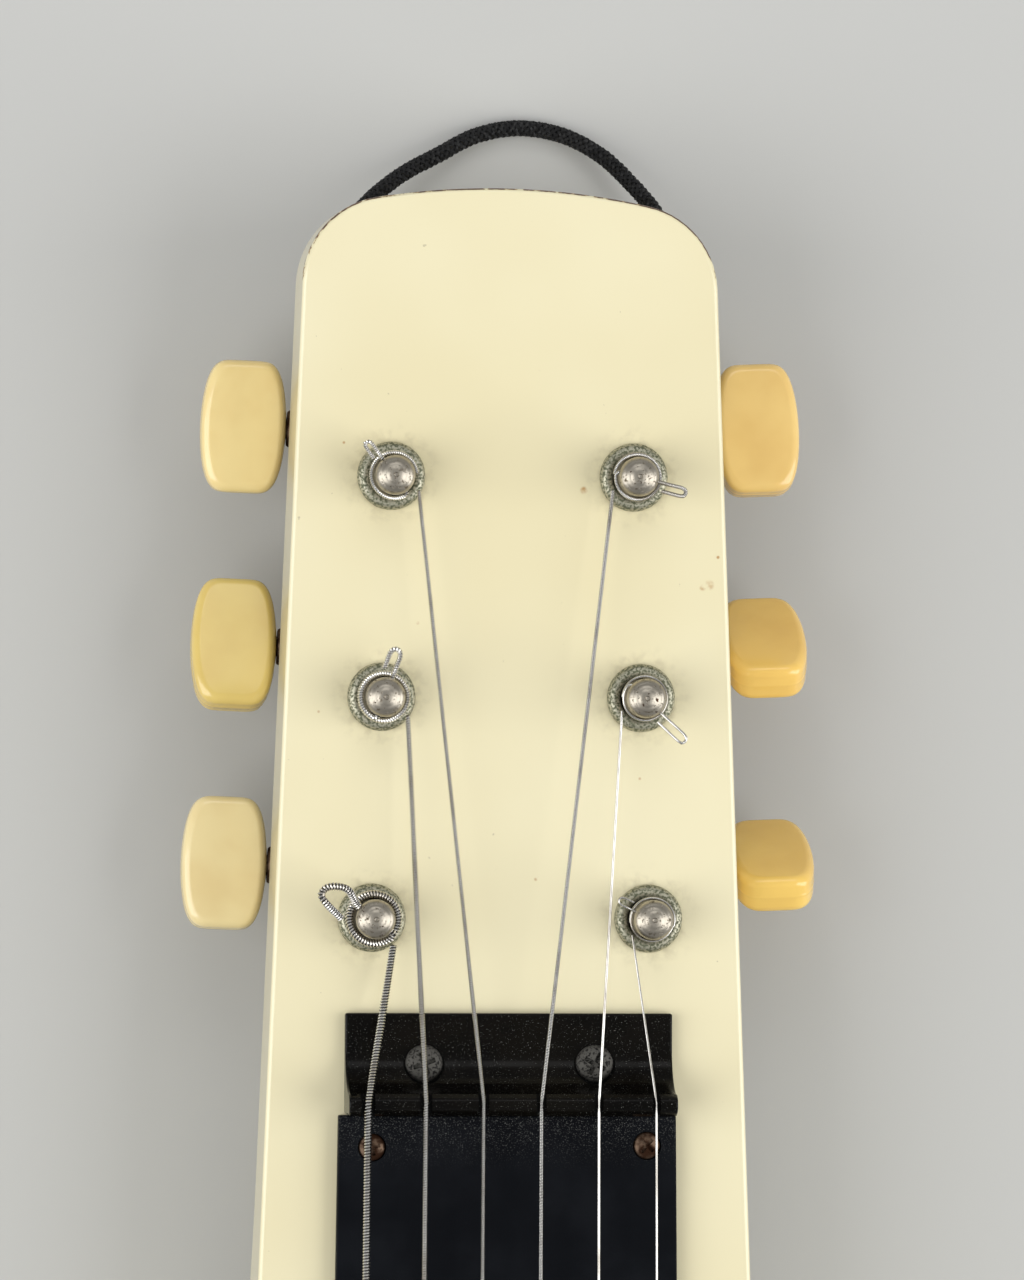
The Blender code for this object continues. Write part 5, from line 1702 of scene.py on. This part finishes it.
@dataclass
class Nut:
    """The screwed-on nut with a cove up to its ridge.

    Attributes whose names don't say it all:
        centre_x: Place across of its middle.
        head_side: Reach from the ridge towards the head.
        tail_side: Reach from the ridge towards the tail.
        cove_end: Distance from the ridge at which the cove ends.
        slot_clearance: Room beside a string in its slot.
        recess_floor: Height of the recesses' floor.
    """

    width: float = 52.0 * MM
    centre_x: float = 0.2 * MM
    foot: float = 1.8 * MM
    foot_length: float = 5.2 * MM
    top: float = 11.0 * MM
    head_side: float = 13.8 * MM
    tail_side: float = 2.1 * MM
    cove_end: float = 1.4 * MM
    slot_clearance: float = 0.45 * MM
    screw_spacing: float = 27.1 * MM
    screw_from_ridge: float = 5.9 * MM
    screw_radius: float = 2.95 * MM
    screw_height: float = 1.5 * MM
    recess_radius: float = 3.3 * MM
    recess_floor: float = 2.0 * MM

    def build(self, palette: Palette) -> None:
        """Add the nut and its two screws.

        Args:
            palette: The instrument's materials.
        """
        head = NUT_Y + self.head_side
        tail = NUT_Y - self.tail_side
        cove_end = NUT_Y + self.cove_end
        cove_start = head - self.foot_length
        rise = self.top - 1.2 * MM - self.foot
        cove = [(cove_start - (cove_start - cove_end) * math.sin(math.radians(a)),
                 self.foot + rise * (1 - math.cos(math.radians(a)))) for a in range(0, 91, 6)]
        profile = [(head, 0), (head, self.foot)] + cove
        profile += [(NUT_Y + 0.6 * MM, self.top - 0.2 * MM), (NUT_Y - 0.6 * MM, self.top),
                    (NUT_Y - 1.5 * MM, self.top - 0.5 * MM), (tail, self.top - 1.6 * MM), (tail, 0)]
        base = FACE_Z + SEAT_GAP
        low_x = self.centre_x - self.width / 2
        bm = extruded([(low_x, y, base + z) for y, z in profile], (self.width, 0, 0))
        cut = bmesh.new()
        for tuner in TUNERS:
            slope, _ = tuner.slope()
            x = string_x(tuner.number, NUT_STRING_SPAN)
            half = tuner.wire_radius + self.slot_clearance
            floor = FACE_Z + STRING_REST_HEIGHT - SEAT_GAP - slope * 2.4 * MM
            add_box(cut, (x - half, tail - 5 * MM, floor), (x + half, NUT_Y + 4.8 * MM, FACE_Z + 16 * MM))
        recesses = bmesh.new()
        for side in (-1, 1):
            x = self.centre_x + side * self.screw_spacing / 2
            y = NUT_Y + self.screw_from_ridge
            add_cylinder(recesses, self.recess_radius, (x, y, base + self.recess_floor),
                         (x, y, FACE_Z + self.top - 2 * MM), 40)
        add_piece("nut_form", carved(bm, [cut, recesses], 0.35 * MM, 3), palette.black,
                  Body.INSTRUMENT.named(), ["nut"])
        for side, turn in ((-1, 20), (1, 62)):
            place = (self.centre_x + side * self.screw_spacing / 2, NUT_Y + self.screw_from_ridge,
                     base + self.recess_floor)
            screw = Screw(f"nut_screw_{'bass' if side < 0 else 'treble'}", place, self.screw_radius,
                          self.screw_height, turn=turn)
            screw.build(palette.dusty, Body.INSTRUMENT.named(), "worn_steel")


@dataclass
class Fretboard:
    """Thin tapered fretboard with a raised line at each fret, dots and screws.

    Attributes whose names don't say it all:
        nut_gap: Distance of the board's end from the nut's ridge.
        nut_width: Width of that end.
        taper: Gain in width per length towards the tail.
        last_margin: Length of board past the last fret.
        dots: Frets that have a dot before them.
        dot_spread: Distance of the octave's two dots from the middle.
        screw_edge: Distance of the screws from the board's edge.
    """

    thickness: float = 2.5 * MM
    nut_gap: float = 2.35 * MM
    nut_width: float = 53.6 * MM
    taper: float = 0.0235
    frets: int = 24
    fret_width: float = 1.1 * MM
    fret_height: float = 0.35 * MM
    last_margin: float = 14.0 * MM
    dots: tuple = (3, 5, 7, 9, 12, 15, 17, 19, 21, 24)
    dot_radius: float = 2.6 * MM
    dot_spread: float = 9.0 * MM
    screw_radius: float = 2.15 * MM
    screw_edge: float = 5.3 * MM

    @staticmethod
    def fret_y(number: int) -> float:
        """Place of one fret along the instrument, by equal temperament."""
        return NUT_Y - SCALE_LENGTH * (1 - 2 ** (-number / 12))

    def width_at(self, y: float) -> float:
        """Width of the board at a place along it."""
        return self.nut_width + self.taper * (NUT_Y - self.nut_gap - y)

    def screws(self) -> list:
        """Places of the screws along the two edges.

        Returns:
            (x, y, turn) of each screw, the turn in degrees.
        """
        places = [(-21.5 * MM, 240.6 * MM, 15), (22.2 * MM, 240.9 * MM, 50)]
        for fret, turn in ((12, 33), (24, 71)):
            y = self.fret_y(fret) - 7.5 * MM
            reach = self.width_at(y) / 2 - self.screw_edge
            places += [(-reach, y, turn), (reach, y, turn + 24)]
        return places

    def build(self, palette: Palette) -> None:
        """Add the board, its fret lines, its dots and its screws.

        Args:
            palette: The instrument's materials.
        """
        start = NUT_Y - self.nut_gap
        end = self.fret_y(self.frets) - self.last_margin
        base = FACE_Z + SEAT_GAP
        top = base + self.thickness
        bm = extruded([(-0.5, start, base), (-0.5, start, top), (-0.5, end, top), (-0.5, end, base)],
                      (1, 0, 0))
        for vert in bm.verts:
            vert.co.x *= self.width_at(vert.co.y)
        holes = bmesh.new()
        for x, y, _ in self.screws():
            add_cylinder(holes, self.screw_radius + 0.12 * MM, (x, y, top - 1.0 * MM),
                         (x, y, top + 2 * MM), 32)
        body = Body.INSTRUMENT.named()
        add_piece("fretboard_form", carved(bm, [holes], 0.3 * MM, 3), palette.board, body,
                  ["fretboard"])
        lines = bmesh.new()
        for number in range(1, self.frets + 1):
            y = self.fret_y(number)
            half = self.width_at(y) / 2 - 0.4 * MM
            add_box(lines, (-half, y - self.fret_width / 2, top - 0.2 * MM),
                    (half, y + self.fret_width / 2, top + self.fret_height))
        edges = [e for e in lines.edges if min(v.co.z for v in e.verts) > top]
        bmesh.ops.bevel(lines, geom=edges, offset=0.15 * MM, segments=2, affect="EDGES", profile=0.5,
                        material=-1)
        add_piece("fret_lines", finished(lines, "fret_lines"), palette.fret_line, body)
        dots = bmesh.new()
        for number in self.dots:
            y = (self.fret_y(number) + self.fret_y(number - 1)) / 2
            sides = (-self.dot_spread, self.dot_spread) if number % 12 == 0 else (0.0,)
            for x in sides:
                add_cylinder(dots, self.dot_radius, (x, y, top - 0.2 * MM),
                             (x, y, top + 0.04 * MM), 32)
        add_piece("fret_dots", finished(dots, "fret_dots"), palette.fret_line, body)
        for index, (x, y, turn) in enumerate(self.screws(), 1):
            Screw(f"fretboard_screw_{index}", (x, y, top - 0.75 * MM), self.screw_radius, 0.85 * MM,
                  turn=turn).build(palette.rusty, body, "worn_steel")


@dataclass
class Strings:
    """The six strings from their posts over the nut and the saddle to the bridge.

    Attributes whose names don't say it all:
        wall_start: Distance of the bridge's anchoring wall from the saddle.
        anchor_height: Height of its holes over the face.
        past_wall: Distance of the ball ends past the wall.
    """

    ridge_height: float = 10.2 * MM
    wall_start: float = 15.5 * MM
    wall_thickness: float = 2.6 * MM
    anchor_height: float = 5.6 * MM
    past_wall: float = 2.2 * MM
    ball_radius: float = 1.9 * MM
    ball_half_length: float = 1.6 * MM

    def build(self, palette: Palette) -> None:
        """Add each string and its ball end.

        Args:
            palette: The instrument's materials.
        """
        for tuner in TUNERS:
            self._build_string(tuner, palette)

    def _build_string(self, tuner: Tuner, palette: Palette) -> None:
        """Add one string and its ball end.

        Args:
            tuner: The string's tuner.
            palette: The instrument's materials.
        """
        radius = tuner.wire_radius
        plan = tuner.winding()
        slope, nut_height = tuner.slope()
        tangent = on_circle(tuner.centre, plan["radius"], plan["leave"])
        direction = (plan["nut"] - tangent).normalized()
        inner = tuner.post_radius + SEAT_GAP
        outer = plan["radius"] + radius + SEAT_GAP
        start = tangent + direction * math.sqrt(outer ** 2 - inner ** 2)
        run = (plan["nut"] - start).length
        x = string_x(tuner.number, BRIDGE_STRING_SPAN)
        saddle = FACE_Z + 2 * SEAT_GAP + self.ridge_height + radius
        wall = BRIDGE_Y - self.wall_start - self.wall_thickness
        anchor = FACE_Z + self.anchor_height
        nut = plan["nut"]
        points = [Vector(point) for point in (
            (*start, FACE_Z + nut_height - slope * run),
            (*(nut + (start - nut).normalized() * 0.8 * MM), FACE_Z + nut_height - slope * 0.8 * MM),
            (*nut, FACE_Z + nut_height),
            (nut.x, NUT_Y - 1.0 * MM, FACE_Z + nut_height),
            (x, BRIDGE_Y + 0.6 * MM, saddle),
            (x, BRIDGE_Y - 0.4 * MM, saddle),
            (x, BRIDGE_Y - 1.4 * MM, saddle - 0.1 * MM),
            (x, BRIDGE_Y - self.wall_start + 1.5 * MM, anchor + 0.2 * MM),
            (x, wall - self.past_wall, anchor))]
        body = Body.INSTRUMENT.named()
        mesh = finished(tuner.wire(points), "string")
        add_piece(f"string_form_{tuner.number}", mesh, palette.wires[tuner.number], body,
                  [f"string_{tuner.number}"])
        ball = bmesh.new()
        add_cylinder(ball, self.ball_radius,
                     (x - self.ball_half_length, wall - self.past_wall, anchor),
                     (x + self.ball_half_length, wall - self.past_wall, anchor), 28)
        bmesh.ops.bevel(ball, geom=[e for e in ball.edges if e.calc_face_angle(0) > 1.2],
                        offset=0.3 * MM, segments=3, affect="EDGES", profile=0.5, material=-1)
        add_piece(f"ball_end_{tuner.number}", finished(ball, "ball_end"), palette.brass, body)


@dataclass
class Trim:
    """Small screws, pole pieces and nuts of the plates, bridge and pickup.

    Attributes whose names don't say it all:
        bridge_screw_back: Distance of those screws behind the saddle.
        control_screws: Distance of its screws from its middle, across and along.
        jack_offset: Distance of the jack from the plate's middle.
        bracket_y: Place along the instrument of the cord's bracket.
        bracket_screws: Distance of its screws from its middle, across and along.
        plate_screws: Places of each tuner plate's screws along it, from its middle post.
        plate_back: Height of the tuner plates' back over the shafts' axes.
    """

    bridge_plate: float = 3.0 * MM
    bridge_screws: tuple = (-21.6 * MM, 0.0, 21.6 * MM)
    bridge_screw_back: float = 8.8 * MM
    pickup_flange: float = 1.5 * MM
    pickup_screws: tuple = (-39.4 * MM, 39.4 * MM)
    pole_span: float = 53.2 * MM
    pole_radius: float = 2.4 * MM
    pickup_top: float = 8.4 * MM
    control_plate: float = 1.4 * MM
    control_screws: tuple = (12.0 * MM, 51.5 * MM)
    jack_offset: float = 35.0 * MM
    bracket_y: float = 368.0 * MM
    bracket_screws: tuple = (5.0 * MM, 6.9 * MM)
    bracket_foot: float = 1.1 * MM
    plate_screws: tuple = (-43.6 * MM, -14.0 * MM, 19.0 * MM, 47.2 * MM)
    plate_back: float = 3.55 * MM

    @staticmethod
    def _build_screws(name: str, places: Iterable[Sequence[float]], size: tuple[float, float], turn: float,
                      material: bpy.types.Material, facing: int = 1) -> None:
        """Add like screws, each recess turned further than the last.

        Args:
            name: Name of the pieces, before their number.
            places: Middle of each head's seat.
            size: Radius and height of a head.
            turn: Turn of each recess against the last one, in degrees.
            material: Their material.
            facing: 1 where they look up, and -1 where they look down.
        """
        radius, height = size
        for index, place in enumerate(places, 1):
            screw = Screw(f"{name}_{index}", place, radius, height, turn=turn * index, facing=facing)
            screw.build(material, Body.INSTRUMENT.named(), "worn_steel")

    def build(self, palette: Palette) -> None:
        """Add the trim to the scene.

        Args:
            palette: The instrument's materials.
        """
        base = FACE_Z + SEAT_GAP
        corners = ((-1, -1), (1, -1), (-1, 1), (1, 1))
        small = (1.8 * MM, 1.1 * MM)
        self._build_screws("bridge_screw", [(x, BRIDGE_Y - self.bridge_screw_back, base + self.bridge_plate)
                                            for x in self.bridge_screws],
                           (2.9 * MM, 1.4 * MM), 31, palette.steel)
        self._build_screws("pickup_screw", [(x, PICKUP_Y, base + self.pickup_flange)
                                            for x in self.pickup_screws], small, 44, palette.steel)
        poles = bmesh.new()
        top = base + self.pickup_top
        for number in STRING_NUMBERS:
            x = string_x(number, self.pole_span)
            add_cylinder(poles, self.pole_radius, (x, PICKUP_Y, top - 0.3 * MM),
                         (x, PICKUP_Y, top + 0.3 * MM), 32)
        add_piece("pole_pieces", finished(poles, "pole_pieces"), palette.steel, Body.INSTRUMENT.named())
        plate_top = base + self.control_plate
        centre_x, centre_y = CONTROL_PLACE
        across, along = self.control_screws
        self._build_screws("control_screw", [(centre_x + sx * across, centre_y + sy * along, plate_top)
                                             for sx, sy in corners], small, 37, palette.steel)
        self._build_jack_nut(palette, plate_top)
        across, along = self.bracket_screws
        foot = HEAD_BACK_Z - SEAT_GAP - self.bracket_foot
        self._build_screws("bracket_screw", [(sx * across, self.bracket_y + sy * along, foot)
                                             for sx, sy in corners],
                           (1.7 * MM, 1.0 * MM), 29, palette.steel, -1)
        for tuner, name in ((TUNERS[1], "treble"), (TUNERS[4], "bass")):
            places = [tuner.matrix @ Vector((0.0, tuner.side * y, self.plate_back))
                      for y in self.plate_screws]
            self._build_screws(f"plate_screw_{name}", places, (1.75 * MM, 1.1 * MM), 53, palette.steel, -1)

    def _build_jack_nut(self, palette: Palette, plate_top: float) -> None:
        """Hexagonal nut around the jack's bushing.

        Args:
            palette: The instrument's materials.
            plate_top: Height of the control plate's top.
        """
        centre = Vector((CONTROL_PLACE[0], CONTROL_PLACE[1] - self.jack_offset))
        corners = [on_circle(centre, 6.9 * MM, 60 * k) for k in range(6)]
        nut = extruded([(*corner, plate_top + 0.05 * MM) for corner in corners], (0, 0, 1.9 * MM))
        bore = bmesh.new()
        add_cylinder(bore, 5.0 * MM, (*centre, plate_top - 2 * MM), (*centre, plate_top + 5 * MM), 40)
        add_piece("jack_nut", carved(nut, [bore], 0.25 * MM, 2), palette.chrome,
                  Body.INSTRUMENT.named())


@dataclass
class HangCord:
    """Braided cord that arches past the head's end.

    Attributes whose names don't say it all:
        diameter: Outer diameter of the braid.
        length: Length of the cord, from end to end of its route; not used.
        carriers: Strands that wind each way.
        weave: How far a strand lifts over the ones that it crosses.
        spacing: Distance between the route's points.
        route: Points in millimetres, out of the bracket's bass mouth and around to the other.
    """

    diameter: float = 2.8 * MM
    length: float = 147.6 * MM
    carriers: int = 6
    core_radius: float = 0.90 * MM
    strand_radius: float = 0.34 * MM
    weave: float = 0.12 * MM
    spacing: float = 0.2 * MM
    route: tuple = (
        (-1.0, 368.0, 19.5), (-7.0, 368.0, 19.5), (-12.5, 368.2, 19.2), (-18.5, 370.6, 18.0),
        (-23.4, 375.6, 15.9), (-25.0, 381.6, 13.4), (-23.6, 387.4, 10.9), (-20.1, 391.8, 8.6),
        (-14.7, 396.1, 5.8), (-8.7, 399.4, 3.6), (-2.6, 402.6, 2.0), (4.4, 404.0, 1.5),
        (11.6, 402.9, 1.8), (17.7, 399.7, 3.3), (22.3, 395.2, 5.7), (26.3, 390.0, 8.7),
        (28.5, 384.0, 11.8), (28.0, 377.6, 14.7), (24.6, 372.2, 17.1), (18.9, 368.9, 18.7),
        (12.5, 368.1, 19.3), (7.0, 368.0, 19.5), (1.0, 368.0, 19.5),
    )

    def build(self, palette: Palette) -> None:
        """Add the cord with its braid of real strands.

        Args:
            palette: The instrument's materials.
        """
        path = smooth_route([[c * MM for c in point] for point in self.route], self.spacing)
        frames = frames_along(path)
        bm = bmesh.new()
        sweep(bm, path[::6] + [path[-1]], self.core_radius, 12)
        weave_radius = self.diameter / 2 - self.strand_radius - self.weave
        turn_per_metre = 1 / weave_radius
        for way in (1, -1):
            for k in range(self.carriers):
                points = []
                for point, side, up, run in frames:
                    angle = 2 * math.pi * k / self.carriers + way * run * turn_per_metre
                    lift = way * self.weave * math.cos(self.carriers * run * turn_per_metre)
                    reach = weave_radius + lift
                    points.append(point + reach * (math.cos(angle) * side + math.sin(angle) * up))
                sweep(bm, points, self.strand_radius, 5)
        cord = add_piece("hang_cord_braid", finished(bm, "hang_cord"), palette.cord,
                         Body.INSTRUMENT.named(), ["hang_cord"])


@dataclass(frozen=True)
class Softbox:
    """A large soft light.

    Attributes whose names don't say it all:
        aim: The place that it looks at.
        power: Its power in watts.
    """

    name: str
    place: tuple
    aim: tuple
    size: tuple
    power: float

    def build(self) -> None:
        """Add the light to the scene."""
        light = bpy.data.lights.new(self.name, "AREA")
        light.shape = "RECTANGLE"
        light.size, light.size_y = self.size
        light.energy = self.power
        obj = bpy.data.objects.new(self.name, light)
        obj.location = self.place
        direction = Vector(self.aim) - Vector(self.place)
        obj.rotation_mode = "QUATERNION"
        obj.rotation_quaternion = direction.to_track_quat("-Z", "Y")
        bpy.context.scene.collection.objects.link(obj)


@dataclass
class Studio:
    """Camera, soft lights and floor.

    Attributes whose names don't say it all:
        tilt: Tilt to the bass side, in degrees.
        roll: Turn of the picture, in degrees.
        lens: Focal length in millimetres.
    """

    target: tuple = (0.5 * MM, 320.9 * MM, 38.0 * MM)
    distance: float = 1.5
    tilt: float = 5.5
    roll: float = 0.33
    lens: float = 266.2
    boxes: list = field(default_factory=lambda: [
        Softbox("softbox_bass", (-1.05, 0.12, 0.75), (0, 0.24, 0.03), (0.9, 1.6), 13.6),
        Softbox("softbox_treble", (1.05, 0.12, 0.75), (0, 0.24, 0.03), (0.9, 1.6), 13.6),
        Softbox("beyond_head", (0.0, 1.35, 1.10), (0, 0.25, 0.03), (1.0, 0.5), 2.5),
    ])

    def build_camera(self) -> None:
        """Camera above the head, tilted a little to the bass side."""
        tilt = math.radians(self.tilt)
        roll = math.radians(self.roll)
        back = Vector((-math.sin(tilt), 0, math.cos(tilt)))
        up = Vector((-math.sin(roll), math.cos(roll), 0))
        up = (up - back * up.dot(back)).normalized()
        right = up.cross(back)
        camera = bpy.data.cameras.new("camera")
        camera.type = "PERSP"
        camera.sensor_width = 36.0
        camera.lens = self.lens
        camera.clip_start = 0.05
        camera.clip_end = 20.0
        obj = bpy.data.objects.new("camera", camera)
        matrix = Matrix((right, up, back)).transposed().to_4x4()
        matrix.translation = Vector(self.target) + back * self.distance
        obj.matrix_world = matrix
        bpy.context.scene.collection.objects.link(obj)
        bpy.context.scene.camera = obj

    def build_set(self) -> None:
        """Lights, floor and sky."""
        for box in self.boxes:
            box.build()
        world = bpy.data.worlds.new("studio")
        world.use_nodes = True
        background = world.node_tree.nodes["Background"]
        background.inputs["Color"].default_value = (0.80, 0.81, 0.82, 1.0)
        background.inputs["Strength"].default_value = 0.44
        bpy.context.scene.world = world
        bm = bmesh.new()
        bmesh.ops.create_grid(bm, x_segments=1, y_segments=1, size=4.0,
                              matrix=Matrix.Translation((0, 0, -0.4 * MM)))
        mesh = bpy.data.meshes.new("floor")
        bm.to_mesh(mesh)
        bm.free()
        mesh.materials.append(concrete_floor())
        floor = bpy.data.objects.new("floor", mesh)
        bpy.context.scene.collection.objects.link(floor)
        bpy.context.scene.view_settings.view_transform = "Standard"


class LapSteel:
    """The whole instrument, dressed over its CAD frame.

    Attributes whose names don't say it all:
        nodes: The CAD nodes' objects, by name.
    """

    def __init__(self, frame: dict) -> None:
        """Take over the frame, and make the materials.
        """
        self.nodes = frame["nodes"]
        self.record = frame["record"]
        self.palette = Palette([tuner.centre for tuner in TUNERS])

    def dress_nodes(self) -> None:
        """Give every CAD node its material, also those that a piece stands for."""
        slots = {part["node"]: part["material_slot"] for part in self.record["subparts"]}
        for name, obj in self.nodes.items():
            obj.data.materials.clear()
            obj.data.materials.append(self.palette.for_slot(slots[name], name))

    def build(self) -> None:
        """Add every piece."""
        self.dress_nodes()
        HangCord().build(self.palette)
        Woodwork().build(self.palette)
        Nut().build(self.palette)
        Fretboard().build(self.palette)
        for tuner in TUNERS:
            tuner.build(self.palette)
        Strings().build(self.palette)
        Trim().build(self.palette)


def main() -> None:
    """Build the scene."""
    logging.basicConfig(level=logging.INFO, format="%(name)s: %(message)s", stream=sys.stdout)
    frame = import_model()
    studio = Studio()
    studio.build_camera()
    studio.build_set()
    LapSteel(frame).build()


if __name__ == "__main__":
    main()
